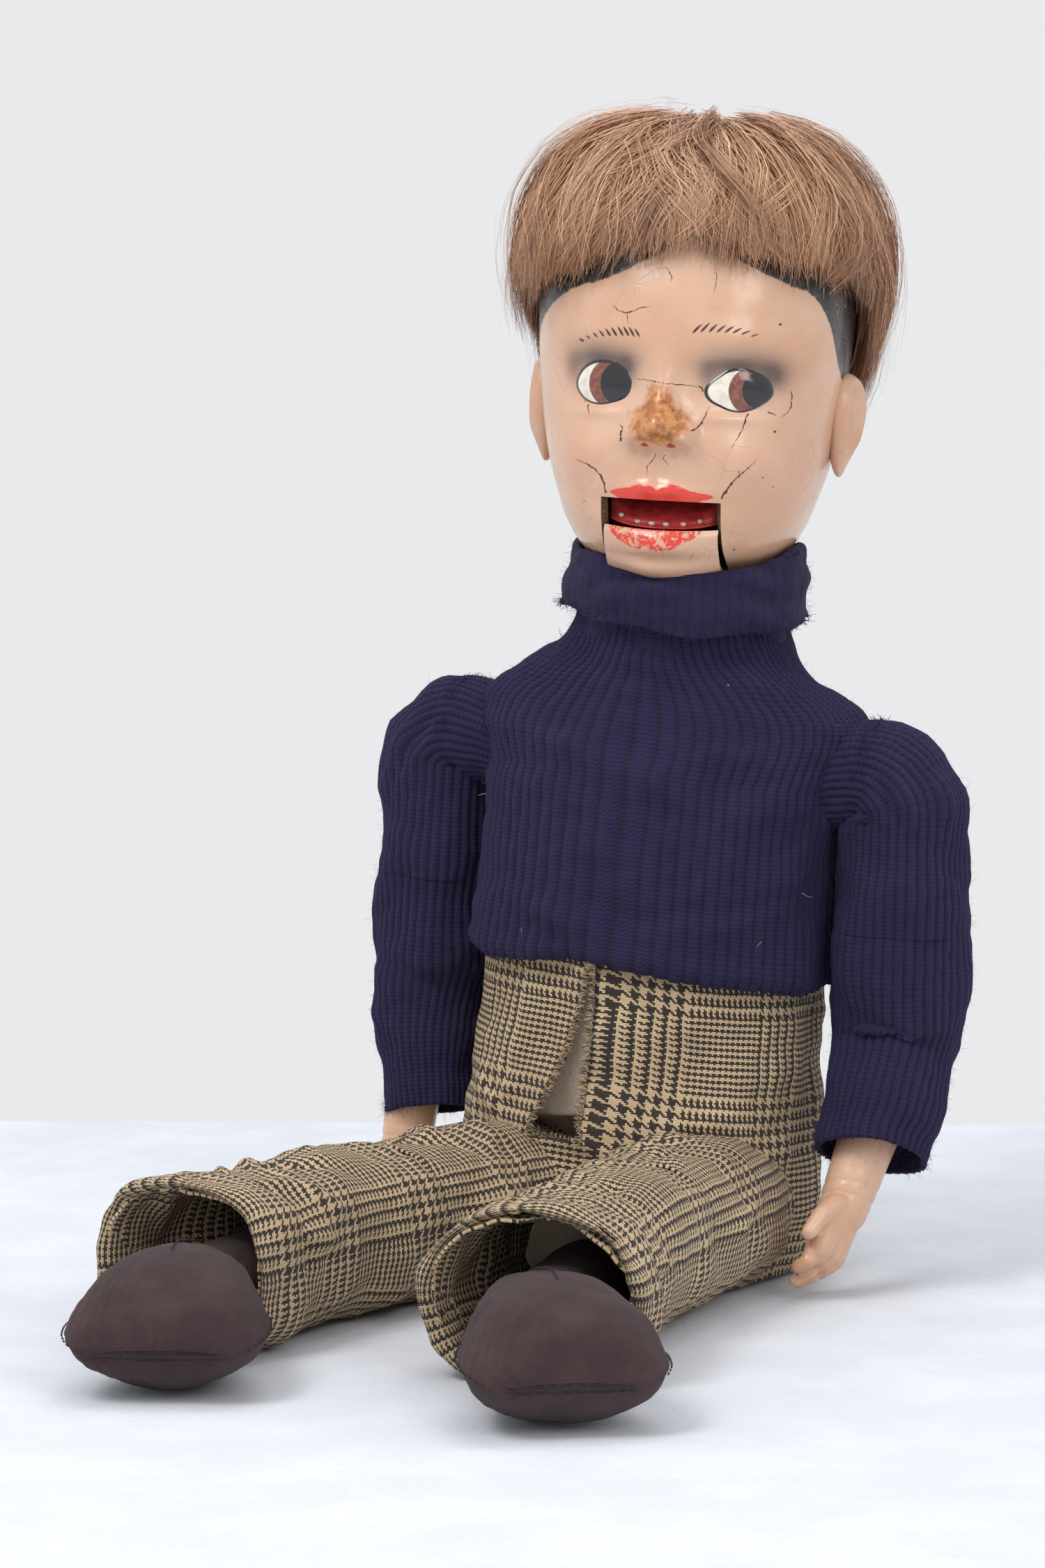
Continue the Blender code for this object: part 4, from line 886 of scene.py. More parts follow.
def features(made, jaw=False):
    """Where each painted feature lies, and the painted shade in the eye sockets, as attributes that the paint
    reads.
    """
    p = within(HEAD, coordinates(made))
    x, y, z = p.T
    front = step(-5, -20, y)
    # painted shade: darkest under the brows and in the corners of the eye sockets
    shade = np.zeros(len(x))
    for cx, cz, half_width, half_height, amount in (
        (-25.5, 101.5, 13.5, 6.0, 1.0), (28.5, 101.0, 14.0, 6.0, 1.0),
        (-14.5, 97.0, 4.5, 6.5, 0.7), (41.0, 97.0, 5.0, 6.0, 0.75), (-38.0, 96.0, 4.0, 6.5, 0.45),
        (16.5, 96.0, 4.0, 6.0, 0.5),
    ):
        shade += amount * mound(x, z, cx, cz, half_width, half_height)
    shade = np.clip(shade, 0, 1) * front * step(82, 92, z)
    worn = 1.1 * mound(x, z, 0, 78.0, 12.5, 8.5) + 0.5 * mound(x, z, 0, 90, 6, 5)
    blush = mound(np.abs(x), z, 36, 62, 12, 12) * 0.5
    lip = np.full(len(x), 9.0)
    if jaw:
        q = within(JAW, coordinates(made)) + np.array(JAW_PIVOT)
        lip = outline_distance(q[:, 0], q[:, 2], LOWER_LIP)
        lip = np.where(q[:, 1] > -30, 9, lip)
    else:
        close = (np.abs(x) < 26) & (z > 42) & (z < 58) & (y < -30)
        lip[close] = outline_distance(x[close], z[close], UPPER_LIP)
    black = edge_height(PAINTED_EDGE, around(p)) - z
    for name, values in (
        ("shade", shade), ("worn", worn * front), ("blush", blush * front), ("lip", lip), ("black", black),
    ):
        attribute(made, name, values)


def sliced(made, matrix, centre, normal, clear=False):
    """Cuts a surface along a plane of a frame; clear takes away the side the normal points to."""
    at = moved(matrix, np.array([centre], float))[0]
    way = np.array(matrix)[:3, :3] @ np.array(normal, float)
    return edit(
        made, lambda: bpy.ops.mesh.bisect(plane_co=at, plane_no=way, clear_outer=clear, threshold=0.00001)
    )


def without(made, chosen):
    """Takes the chosen faces away."""
    pick(made)
    bpy.ops.object.mode_set(mode="EDIT")
    bpy.ops.mesh.select_mode(type="FACE")
    bpy.ops.mesh.select_all(action="DESELECT")
    bpy.ops.object.mode_set(mode="OBJECT")
    made.data.polygons.foreach_set("select", chosen)
    bpy.ops.object.mode_set(mode="EDIT")
    bpy.ops.mesh.delete(type="FACE")
    bpy.ops.mesh.select_mode(type="VERT")
    bpy.ops.object.mode_set(mode="OBJECT")


def centres_in(made, matrix):
    return within(matrix, np.array([f.center for f in made.data.polygons]))


def thickened(made, thickness, materials):
    """Gives a shell its wall, with the second material on the cut edge, if there is one."""
    finish(made, materials)
    modify(made, "SOLIDIFY", thickness=thickness * MM, offset=-1, material_offset_rim=len(materials) - 1)
    pick(made)
    bpy.ops.object.shade_smooth_by_angle(angle=math.radians(38))
    deselect()


def make_shells():
    """The face shell with its ears and mouth slot, and the back shell."""
    slot_half = JAW_HALF + 1.1
    face = head_solid("painted_face_shell", 300, 190)
    sliced(face, HEAD, (0, SEAM_Y - 0.2, 0), (0, 1, 0), True)
    for sign in (-1, 1):
        sliced(face, HEAD, (sign * slot_half, 0, 0), (1, 0, 0))
    sliced(face, HEAD, (0, 0, MOUTH_HEIGHT), (0, 0, 1))
    sliced(face, HEAD, (0, MOUTH_BACK, 0), (0, 1, 0))
    c = centres_in(face, HEAD)
    slot = (np.abs(c[:, 0]) < slot_half) & (c[:, 2] < MOUTH_HEIGHT) & (c[:, 1] < MOUTH_BACK)
    without(face, slot | (c[:, 2] < NECK_OPENING_Z))
    back = head_solid("painted_back_shell", 160, 110)
    sliced(back, HEAD, (0, SEAM_Y + 0.2, 0), (0, -1, 0), True)
    without(back, centres_in(back, HEAD)[:, 2] < NECK_OPENING_Z)
    for made, node in ((face, "head_face_shell"), (back, "head_back_shell")):
        thickened(made, SHELL_WALL, (COMPOSITION, EDGE))
        features(made)
        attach(made, "head")
        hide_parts(node)
    for side, sign in SIDES:
        ear = ear_form(sign)
        ear.name = ear.data.name = "moulded_ear_" + side
        finish(ear, ARM_PAINT)
        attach(ear, "head")


def make_jaw():
    """The chin piece, with a rounded lower lip, the tongue behind it and the tips of the teeth."""
    chin = head_solid("painted_jaw", 240, 170)
    p = within(HEAD, coordinates(chin))
    p[:, 1] += 2.4 * step(43.5, 47.6, p[:, 2]) ** 2 * step(-20, -35, p[:, 1])
    put(chin, moved(HEAD, p))
    for centre, normal in (
        ((JAW_HALF, 0, 0), (1, 0, 0)), ((-JAW_HALF, 0, 0), (-1, 0, 0)), ((0, 0, JAW_TOP), (0, 0, 1)),
        ((0, -34, 0), (0, 1, 0)),
    ):
        sliced(chin, HEAD, centre, normal, True)
    thickened(chin, SHELL_WALL, (JAW_PAINT,))
    p = within(HEAD, coordinates(chin)) - np.array(JAW_PIVOT)
    put(chin, moved(JAW, p))
    features(chin, True)
    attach(chin, "jaw")
    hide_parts("jaw")

    def tongue_shape(u, v):
        x = (u - 0.5) * 2
        y = -54.0 + 8.0 * x * x + v * (18.5 - 3.0 * x * x)
        rise = 0.4 + 10.5 * np.maximum(0, v - 0.07) ** 0.6 * (1 - 0.3 * x * x)
        rise = rise + 6.5 * x**4 * np.minimum(1, 0.15 + v * 3)
        return moved(JAW, np.stack([x * TONGUE_HALF, y - JAW_PIVOT[1], JAW_TOP - JAW_PIVOT[2] + rise], 1))

    tongue = laid("red_tongue", tongue_shape, 40, 28)
    modify(tongue, "SOLIDIFY", thickness=0.0006, offset=-1)
    finish(tongue, RED)
    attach(tongue, "jaw")
    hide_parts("tongue")
    teeth = []
    for x, size in ((-16.4, 1.1), (-9.4, 1.25), (-3.6, 1.3), (2.0, 1.25), (8.6, 1.2), (14.6, 0.9)):
        deselect()
        bpy.ops.mesh.primitive_uv_sphere_add(segments=14, ring_count=10, radius=1)
        tooth = bpy.context.object
        q = coordinates(tooth)
        q[:, 0] *= size * (1 + 0.15 * q[:, 2])
        q[:, 1] *= 0.8
        q[:, 2] *= 0.9
        share = x / TONGUE_HALF
        y = -52.6 + 8.0 * share * share - JAW_PIVOT[1]
        put(tooth, moved(JAW, q + np.array((x, y, JAW_TOP - JAW_PIVOT[2] + 1.4 + 5.5 * share**4))))
        teeth.append(tooth)
    tips = finish(joined("teeth_tips", teeth), TOOTH)
    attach(tips, "jaw")
    for sign in (-1, 1):
        near, far = sorted((sign * JAW_HALF, sign * (JAW_HALF - 3)))
        strap = block((near, -38, -14), (far, 5.5, -1), JAW)
        strap.name = strap.data.name = "jaw_strap_" + ("l" if sign > 0 else "r")
        modify(strap, "BEVEL", width=0.0008, segments=2)
        finish(strap, EDGE, angle=40)
        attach(strap, "jaw")


def make_eyes():
    """Two slightly domed discs of paint inside their dark outlines."""
    for side, eye in EYES.items():
        corners = np.array(eye["outline"])
        middle = corners.mean(0)
        angle = np.arctan2(*(corners - middle).T[::-1])
        order = np.argsort(angle)
        angles = np.concatenate([angle[order] - 2 * np.pi, angle[order], angle[order] + 2 * np.pi])
        reaches = np.tile(np.linalg.norm(corners - middle, axis=1)[order], 3)

        def shape(u, v, middle=middle, angles=angles, reaches=reaches):
            way = (u - 0.5) * 2 * np.pi
            reach = profile(np.stack([angles, reaches], 1), way)[0] * v
            x, z = middle[0] + reach * np.cos(way), middle[1] + reach * np.sin(way)
            lift = 2.9 * (1 - v**2.2) - 0.35 * step(0.96, 1.0, v)
            return moved(HEAD, on_face(x, z, lift + 0.25))

        made = laid("painted_eye_" + side, shape, 64, 26)
        flat = within(HEAD, coordinates(made))
        put_uv(made, flat[corners_of(made)][:, (0, 2)] * MM)
        from_middle = flat[:, (0, 2)] - middle
        way = np.arctan2(from_middle[:, 1], from_middle[:, 0])
        full = profile(np.stack([angles, reaches], 1), way)[0]
        rim = np.linalg.norm(from_middle, axis=1) / full
        rim += 0.035 * np.sin(way) * step(0.5, 0.9, rim)
        attribute(made, "rim", rim)
        edit(made, weld, outward)
        finish(
            made,
            eye_paint("painted_eye_" + side, eye["iris"], eye["pupil"], eye["iris_size"], eye["pupil_size"]),
        )
        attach(made, "head")


def stroke(path, widths, lift=0.10, steps=10, seed=0):
    """A thin line of paint, or a crack, that follows the face through some points."""
    path = np.array(path, float)
    lengths = np.concatenate([[0], np.cumsum(np.linalg.norm(np.diff(path, axis=0), axis=1))])
    rows = np.column_stack([lengths / lengths[-1], path])
    half = np.array(widths, float) / 2
    spread = np.linspace(0, 1, len(half))

    def shape(u, v):
        x, z = profile(rows, u)
        dx, dz = [a - b for a, b in zip(profile(rows, u + 0.01), profile(rows, u - 0.01))]
        size = np.hypot(dx, dz) + 1e-9
        width = np.interp(u, spread, half)
        if seed:
            width = width * (1 + 0.8 * np.sin(u * 23 + seed) * np.sin(u * 41 + 2 * seed))
            x = x + 0.16 * np.sin(u * 19 * lengths[-1] / 10 + seed)
            z = z + 0.16 * np.cos(u * 17 * lengths[-1] / 10 + seed)
        side = (v - 0.5) * 2 * width
        return moved(HEAD, on_face(x - dz / size * side, z + dx / size * side, lift))

    return laid("stroke", shape, steps, 1)


def make_brows():
    """Slanting brush strokes."""
    pieces = []
    for x, z, slant, length, width in (
        (-34.4, 107.7, 20, 2.6, 0.9), (-31.4, 109.0, 30, 2.2, 0.6), (-28.2, 110.0, 38, 2.6, 0.7),
        (-25.4, 110.7, 46, 3.4, 0.8), (-22.7, 111.2, 50, 3.8, 0.9), (-20.2, 111.6, 52, 4.2, 1.0),
        (-17.6, 111.9, 54, 4.4, 1.0), (-15.3, 112.0, 55, 4.5, 1.0), (-13.1, 111.9, 56, 4.4, 0.9),
        (-10.9, 111.7, 56, 3.8, 0.8),
    ):
        pieces.append((x, z, math.radians(180 - slant), length, width))
    for x, z, slant, length, width in (
        (12.4, 114.3, 48, 5.0, 0.9), (15.4, 114.9, 50, 5.0, 0.9), (18.4, 114.8, 48, 4.4, 0.9),
        (21.4, 114.7, 44, 4.4, 0.8), (24.4, 114.6, 40, 4.2, 0.9), (27.3, 114.3, 34, 4.0, 0.8),
        (30.4, 113.7, 26, 3.6, 0.7), (33.6, 112.8, 22, 2.8, 0.5),
    ):
        pieces.append((x, z, math.radians(slant), length, width))
    made = []
    for x, z, slant, length, width in pieces:
        dx, dz = math.cos(slant) * length / 2, math.sin(slant) * length / 2
        path = [(x - dx, z - dz), (x, z + 0.1), (x + dx, z + dz)]
        made.append(stroke(path, (0.15, width, width, width * 0.7, 0.1), 0.09, 8))
    brows = finish(joined("brow_strokes", made), BROW)
    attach(brows, "head")
    spots = [
        stroke([(-6.6, 68.9), (-5.2, 69.2), (-3.9, 68.9)], (0.3, 1.5, 0.4), 0.12, 6),
        stroke([(3.6, 68.9), (5.2, 69.4), (6.9, 69.0)], (0.4, 1.8, 0.4), 0.12, 6),
    ]
    dots = finish(joined("nostril_dots", spots), NOSTRIL)
    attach(dots, "head")


def make_cracks():
    """Thin dark cracks, each as its path across the face and its widths along it, and a few specks."""
    lines = (
        ([(-21.4, 49.6), (-22.3, 53.5), (-25.0, 57.4), (-29.0, 60.0), (-34.5, 61.6)],
         (0.9, 0.7, 0.5, 0.4, 0.1)),
        ([(23.7, 49.8), (26.0, 53.6), (28.4, 57.0), (30.7, 59.2)], (0.7, 0.8, 0.5, 0.3)),
        ([(30.7, 59.2), (33.4, 62.0), (36.1, 65.2)], (0.3, 0.25, 0.05)),
        ([(30.7, 59.2), (30.2, 60.4), (30.3, 61.6)], (0.3, 0.2, 0.05)),
        ([(-15.3, 69.9), (-15.5, 72.5), (-15.1, 75.3), (-16.8, 76.6)], (0.9, 0.8, 0.5, 0.1)),
        ([(12.6, 75.2), (14.6, 77.0), (16.5, 80.4), (17.9, 85.1)], (0.4, 0.6, 0.35, 0.05)),
        ([(-10.4, 94.0), (-4.0, 93.6), (2.2, 92.9), (9.0, 92.6), (15.4, 92.0)], (0.2, 0.25, 0.3, 0.25, 0.1)),
        ([(32.1, 82.9), (31.4, 80.0), (30.8, 77.6), (29.2, 73.6), (27.1, 69.4)], (0.6, 0.4, 0.3, 0.2, 0.05)),
        ([(38.8, 84.0), (40.2, 83.2), (41.6, 82.4)], (0.5, 0.4, 0.1)),
        ([(46.5, 92.2), (46.6, 88.6), (46.2, 85.2), (43.4, 81.6)], (0.2, 0.3, 0.25, 0.05)),
        ([(-21.7, 121.7), (-18.8, 119.6), (-15.8, 119.1), (-13.0, 119.8), (-10.5, 121.1), (-5.8, 121.9)],
         (0.1, 0.35, 0.4, 0.3, 0.25, 0.05)),
        ([(-15.8, 119.1), (-15.2, 117.0), (-14.8, 114.6)], (0.3, 0.2, 0.05)),
        ([(-1.5, 65.8), (-2.2, 63.6), (-4.6, 60.8), (-4.3, 57.4)], (0.3, 0.3, 0.25, 0.05)),
        ([(1.9, 65.6), (1.8, 64.2), (3.8, 61.6)], (0.3, 0.25, 0.05)),
        ([(-30.5, 83.4), (-30.4, 81.4), (-29.6, 79.4)], (0.6, 0.4, 0.05)),
        ([(-32.6, 86.4), (-32.2, 85.2), (-32.4, 83.8)], (0.5, 0.4, 0.1)),
        ([(13.6, 92.8), (14.6, 91.6), (15.4, 90.6)], (0.1, 0.5, 0.5)),
        ([(-1.8, 137.0), (0.4, 134.4), (1.0, 131.6)], (0.1, 0.4, 0.1)),
        ([(17.0, 138.5), (17.9, 133.5), (17.4, 127.5)], (0.1, 0.25, 0.05)),
    )
    pieces = [stroke(path, widths, 0.06, 16, seed + 1) for seed, (path, widths) in enumerate(lines)]
    for x, z, size in (
        (41.6, 76.3, 0.9), (41.8, 117.4, 0.9), (38.1, 58.5, 0.5), (41.3, 55.0, 0.45), (27.5, 30.0, 0.7),
    ):
        path = [(x - size * 0.5, z - 0.1), (x, z), (x + size * 0.5, z + 0.1)]
        pieces.append(stroke(path, (0.3 * size, 1.1 * size, 0.3 * size), 0.1, 6))
    made = joined("cracks_and_specks", pieces)
    finish(made, CRACK)
    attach(made, "head")


# ---------------------------------------------------------------- wig
def strand_mesh(name, paths, widths, tones, facing):
    """Narrow ribbons along many paths at once: paths is strands by points by three."""
    count, points, _ = paths.shape
    along = np.gradient(paths, axis=1)
    side = np.cross(along, facing)
    side /= np.linalg.norm(side, axis=2)[:, :, None] + 1e-12
    off = side * widths[:, :, None] / 2
    vertices = np.stack([paths - off, paths + off], 2).reshape(-1, 3)
    first = (np.arange(count)[:, None] * points + np.arange(points - 1)[None, :]).ravel() * 2
    faces = np.stack([first, first + 1, first + 3, first + 2], 1)
    mesh = bpy.data.meshes.new(name)
    mesh.from_pydata(vertices.tolist(), [], faces.tolist())
    made = bpy.data.objects.new(name, mesh)
    bpy.context.scene.collection.objects.link(made)
    attribute(made, "tone", np.repeat(tones.ravel(), 2))
    return made


ARC_Z = np.linspace(182.9, 60, 200)


def arc_lengths():
    """Length along the head from the crown down, for each height."""
    width, front, back = profile(HEAD_ROWS, ARC_Z / HEAD_HEIGHT)
    radius = (HEAD_HALF_WIDTH * width + 0.5 * (HEAD_FRONT * front + HEAD_BACK * back)) / 2
    return np.concatenate([[0], np.cumsum(np.hypot(np.diff(radius), np.diff(ARC_Z)))])


ARC = arc_lengths()


def wig_strands(name, seed, count, low, high, loose=0.0, points=11, thick=0.55, wild=1.0):
    """Strands that fan from the crown and end at the ragged edge; low and high are how far they
    stand off the head in the middle of their length."""
    rng = np.random.default_rng(seed)
    clumps = 150
    angle_of = np.sort(rng.uniform(-180, 180, clumps))
    wobble = rng.normal(0, 1, (clumps, 4))
    clump = rng.integers(0, clumps, count)
    angle = angle_of[clump] + rng.normal(0, 2.6, count)
    angle = (angle + 180) % 360 - 180
    end = edge_height(WIG_EDGE, angle) + 3.2 * wobble[clump, 0] + rng.normal(0, 2.6, count)
    end -= np.where(rng.random(count) < 0.10, rng.uniform(0, 7, count), 0)
    total = np.interp(-end, -ARC_Z, ARC)
    begin = rng.uniform(0.0, 0.5, count) ** 2.2 * total
    t = np.linspace(0, 1, points)[None, :]
    length = begin[:, None] + (total - begin)[:, None] * t
    z = np.interp(length, ARC, ARC_Z)
    gather = (0.62 + 0.1 * wobble[clump, 1]) * bell(angle, 4, 105)
    drift = -((angle - 4) * gather)[:, None] * (1 - t) ** 1.4
    wave = np.sin(4.5 * t + clump[:, None]) * np.minimum(1, 3 * t)
    drift = drift + 2.8 * wild * wobble[clump, 2][:, None] * wave
    drift = drift + 1.5 * wild * wobble[clump, 1][:, None] * np.sin(9 * t + 2.0 * clump[:, None])
    way = angle[:, None] + drift
    layer = rng.random(count)[:, None]
    body = np.sin(np.pi * np.clip(0.22 + 0.74 * t, 0, 1)) ** 0.7
    lift = low + (high - low) * layer * body + (1.3 + 0.7 * wild) * wobble[clump, 3][:, None] * body
    lift = lift + loose * rng.random(count)[:, None] * t**2
    lift = np.maximum(lift, 1.0 + 3.5 * (1 - t))
    tuft = 3.0 * bell(way, -6, 16) * bell(t, 0.50, 0.2)
    lift = lift - 0.6 * tuft
    turn = FRONT + way / 360
    flat = head_at(turn.ravel(), z.ravel(), lift.ravel(), False).reshape(count, points, 3)
    flat += np.cumsum(rng.normal(0, 0.26 + 0.05 * loose, (count, points, 3)), axis=1)
    paths = moved(HEAD, flat.reshape(-1, 3)).reshape(count, points, 3)
    facing = paths - spot(HEAD, 0, 4, 112)
    facing /= np.linalg.norm(facing, axis=2)[:, :, None]
    facing += rng.normal(0, 0.35, (count, 1, 3))
    widths = thick * MM * (1 - 0.75 * t**2) * rng.uniform(0.6, 1.1, count)[:, None]
    tones = np.clip(0.52 + 0.17 * wobble[clump, 0][:, None] + rng.normal(0, 0.15, count)[:, None], 0, 1)
    # painted light and shade: strands lying nearer the head are darker, the outer ones lighter, and a lighter
    # band two thirds down each strand is a painted highlight
    tones = tones * (0.5 + 0.5 * layer) + 0.12 * bell(t, 0.65, 0.25)
    # painted shade in the hollow of the parting
    tones = np.clip(tones - 0.3 * bell(way, 2, 9) * bell(t, 0.3, 0.2), 0, 1)
    made = strand_mesh(name, paths, widths, tones, facing)
    finish(made, HAIR)
    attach(made, "head")
    return made


def make_wig():
    """A thin cap with three layers of strands over it, and a few that fly away."""

    def cap_shape(u, v):
        way = (u - 0.5) * 360
        bottom = edge_height(WIG_EDGE, way) + 5
        z = np.interp((1 - v) * np.interp(-bottom, -ARC_Z, ARC), ARC, ARC_Z)
        return moved(HEAD, head_at(FRONT + way / 360, z, 2.2 + 2.5 * np.sin(np.pi * v) ** 0.5, False))

    cap = laid("wig_base", cap_shape, 150, 50)
    edit(cap, weld, outward)
    modify(cap, "SOLIDIFY", thickness=0.0008, offset=-1)
    attribute(cap, "tone", 0.36 + 0.3 * cloudy(coordinates(cap), 0.003))
    finish(cap, HAIR)
    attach(cap, "head")
    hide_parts("wig")
    wig_strands("wig_under_layer", 3, 6200, 3.0, 9.0)
    wig_strands("wig_middle_layer", 4, 7800, 6.0, 13.0, wild=1.5)
    wig_strands("wig_top_layer", 5, 7800, 7.5, 15.0, 1.5, thick=0.45, wild=2.8)
    wig_strands("wig_flyaways", 6, 900, 9.0, 17.0, 6.0, 17, 0.15, 4.0)


# ---------------------------------------------------------------- wool
def fibres(name, made, count, length, material, seed, body, width=0.09, keep=None, blend=None):
    """Short loose fibres that stand off a piece, so that its edge looks woolly."""
    rng = np.random.default_rng(seed)
    points, facing = coordinates(made), normals(made)
    index = rng.integers(0, len(points), count)
    if keep is not None:
        chosen = np.nonzero(keep(points))[0]
        index = chosen[rng.integers(0, len(chosen), count)]
    start, up = points[index], facing[index]
    reach = length * MM * rng.uniform(0.4, 1.3, count)
    lean = rng.normal(0, 0.9, (count, 3))
    curl = rng.normal(0, 0.7, (count, 3))
    t = np.linspace(0, 1, 4)[None, :, None]
    paths = start[:, None] + (up + 0.6 * lean)[:, None] * reach[:, None, None] * t
    paths = paths + curl[:, None] * reach[:, None, None] * t**2 * 0.6
    widths = np.full((count, 4), width * MM) * (1 - 0.6 * np.linspace(0, 1, 4))[None]
    facing = rng.normal(0, 1, (count, 1, 3)) + np.zeros((count, 4, 3))
    found = strand_mesh(name, paths, widths, np.full((count, 4), 0.5), facing)
    finish(found, material)
    if blend:
        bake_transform(found)
    else:
        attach(found, body)
    return found


def torso_at(turn, z, growth):
    width, depth = profile(TORSO_ROWS, z / TORSO_HEIGHT)
    x, y = rounded(
        turn,
        TORSO_HALF_WIDTH * width + growth,
        TORSO_HALF_DEPTH * depth + growth,
        TORSO_HALF_DEPTH * depth + growth,
        2.5,
    )
    return x, y


def across_grid(made, width):
    """How far across its grid each corner of a piece lies, from 0 to 1."""
    found = np.zeros(len(made.data.vertices))
    found[corners_of(made)] = uv_of(made)[:, 0] / width
    return found


def wool_piece(name, shape, columns, rows, size, ribs, rib_height, creases):
    made = laid(name, shape, columns, rows, size)
    edit(made, weld, outward)
    points, outs = coordinates(made), normals(made)
    points = folds(points, outs, creases)
    lumps = cloudy(points, 0.022, 4) * 2.6 + cloudy(points, 0.007, 9) * 0.9
    wave = np.abs(np.sin(np.pi * ribs * across_grid(made, size[0])))
    put(made, points + outs * ((lumps + rib_height * (wave**0.8 - 0.5)) * MM)[:, None])
    attribute(made, "crest", wave)
    return made


SWEATER_TOP = (
    (198, 72.4, 47.0), (206, 75.0, 46.0), (214, 78.0, 44.0), (221, 79.5, 42.0), (227, 78.0, 40.5),
    (232, 73.5, 39.5), (237, 66.0, 39.0), (242, 57.5, 38.5), (247, 50.0, 38.6), (253, 45.4, 39.4),
    (260, 42.8, 40.0), (268, 41.2, 40.6), (276, 41.0, 40.6),
)


SWEATER_RIBS = 76


def make_sweater():
    """The ribbed body of the sweater, up to the collar and out to the shoulders."""

    def shape(u, v):
        z = 125 + v * 147
        x, y = torso_at(u, np.minimum(z, 204), 5.6)
        half, depth = profile(SWEATER_TOP, z)
        top_x, top_y = rounded(u, half, depth, depth, 2.5 - 0.45 * step(210, 245, z))
        share = step(198, 206, z)
        x, y = x * (1 - share) + top_x * share, y * (1 - share) + top_y * share
        belly = bell(z, 155, 40) * 2.4 * step(0, -30, y)
        grow = 1 + (belly + 2.6 * bell(z, 129, 5) + 2.0 * bell(z, 138, 9)) / 60
        x, y = x * grow, y * grow
        wave = 1.2 * np.sin(6 * np.pi * u) + 0.8 * np.sin(14 * np.pi * u + 1)
        z = z + wave * step(140, 125, z) - 2.5 * step(0, 60, x) * step(140, 125, z)
        return moved(BODY, np.stack([x, y, z], 1))

    creases = (
        (-55, -30, 214, -16, -50, 208, 5, 2.8), (-58, -24, 205, -14, -50, 186, 5, 2.6),
        (-62, -16, 192, -34, -46, 160, 6, 2.0), (-30, -44, 212, 34, -50, 196, 6, 2.4),
        (-10, -52, 196, 40, -48, 184, 5, -1.8), (74, -30, 206, 40, -48, 188, 6, 2.6),
        (82, -20, 190, 56, -46, 158, 6, 2.4), (60, -36, 214, 20, -50, 214, 5, 2.2),
        (-50, -40, 150, -10, -54, 140, 5, 2.0), (20, -54, 144, 66, -38, 150, 5, 2.0),
        (-20, -52, 160, 34, -54, 152, 6, 1.6), (-40, 40, 200, 30, 46, 180, 8, 2.4),
        (60, 36, 150, 0, 48, 140, 7, 2.4), (-24, -38, 250, 30, -40, 240, 4, 2.2),
        (-34, -26, 240, 10, -44, 232, 4, 2.0), (20, -42, 250, 56, -20, 236, 4, 2.4),
        (-20, 38, 246, 50, 34, 238, 5, 2.4),
    )
    creases = in_frame(BODY, creases)
    body = wool_piece("ribbed_sweater_body", shape, 456, 92, (0.37, 0.147), SWEATER_RIBS, 1.15, creases)
    modify(body, "SOLIDIFY", thickness=WOOL_WALL, offset=-1)
    finish(body, KNIT)
    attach(body, "torso")
    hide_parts("sweater_body")
    fibres("sweater_fluff", body, 9000, 1.6, WOOL_END, 21, "torso")
    fibres(
        "hem_fluff", body, 1700, 1.8, WOOL_END, 22, "torso", 0.12,
        keep=lambda p: within(BODY, p)[:, 2] < 129,
    )
    fibres("lint_bits", body, 26, 3.2, FRAY_TAN, 23, "torso", 0.5)


# (share of the way round the fold, share of the height, radius)
COLLAR_ROWS = (
    (0, 0.0, 38.5), (0.12, 0.15, 40.0), (0.3, 0.6, 40.5), (0.42, 0.93, 41.5), (0.47, 1.0, 43.2),
    (0.52, 0.97, 45.0), (0.62, 0.72, 46.4), (0.80, 0.35, 47.4), (0.93, 0.06, 48.6), (1.0, 0.0, 48.4),
)


def make_collar():
    """The turned-down collar: up inside, over at the top and down outside to a ragged edge."""

    def shape(u, v):
        front = 0.5 - 0.5 * np.sin(2 * np.pi * u)
        top = 295.5 - 12.5 * front**1.4 + 1.4 * np.sin(6 * np.pi * u + 1)
        edge = 264 + 2.2 * np.sin(4 * np.pi * u + 0.6) + 1.0 * np.sin(14 * np.pi * u) - 3.5 * front
        share, radius = profile(COLLAR_ROWS, v)
        start = np.where(v < 0.47, 246.0, edge)
        z = start + (top - start) * share
        radius = radius + 0.9 * np.sin(4 * np.pi * u + 2) + 0.7 * np.sin(z / 2.6 + 6 * u) * (v > 0.5)
        x, y = np.cos(2 * np.pi * u) * radius, np.sin(2 * np.pi * u) * radius
        return moved(BODY, np.stack([x, y, z], 1))

    creases = (
        (-24, -44, 270, 26, -46, 276, 3.2, 2.6), (-6, -48, 264, 50, -26, 272, 3.2, 2.4),
        (-34, -34, 280, 2, -48, 268, 2.6, 2.2), (30, -38, 284, 64, -2, 272, 3.2, 2.4),
        (-26, 30, 280, 40, 44, 272, 4, 2.6), (40, -34, 264, 62, -10, 268, 3, 2.4),
        (-28, -40, 274, 20, -48, 282, 2.4, -2.0),
    )
    made = wool_piece("folded_collar", shape, 300, 84, (0.30, 0.085), 60, 0.12, in_frame(BODY, creases))
    modify(made, "SOLIDIFY", thickness=0.0014, offset=0)
    finish(made, KNIT)
    bend = ("torso", "neck", tuple(spot(BODY, 0, 0, 268)), tuple(spot(BODY, 0, 0, 298)))
    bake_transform(made)
    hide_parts("sweater_collar")
    fibres("collar_fluff", made, 3600, 1.9, WOOL_END, 31, None, blend=bend)
    fibres(
        "collar_frayed_edge", made, 1300, 1.7, WOOL_END, 32, None, 0.3, blend=bend,
        keep=lambda p: (np.hypot(*within(BODY, p)[:, :2].T) > 46) & (within(BODY, p)[:, 2] < 266),
    )


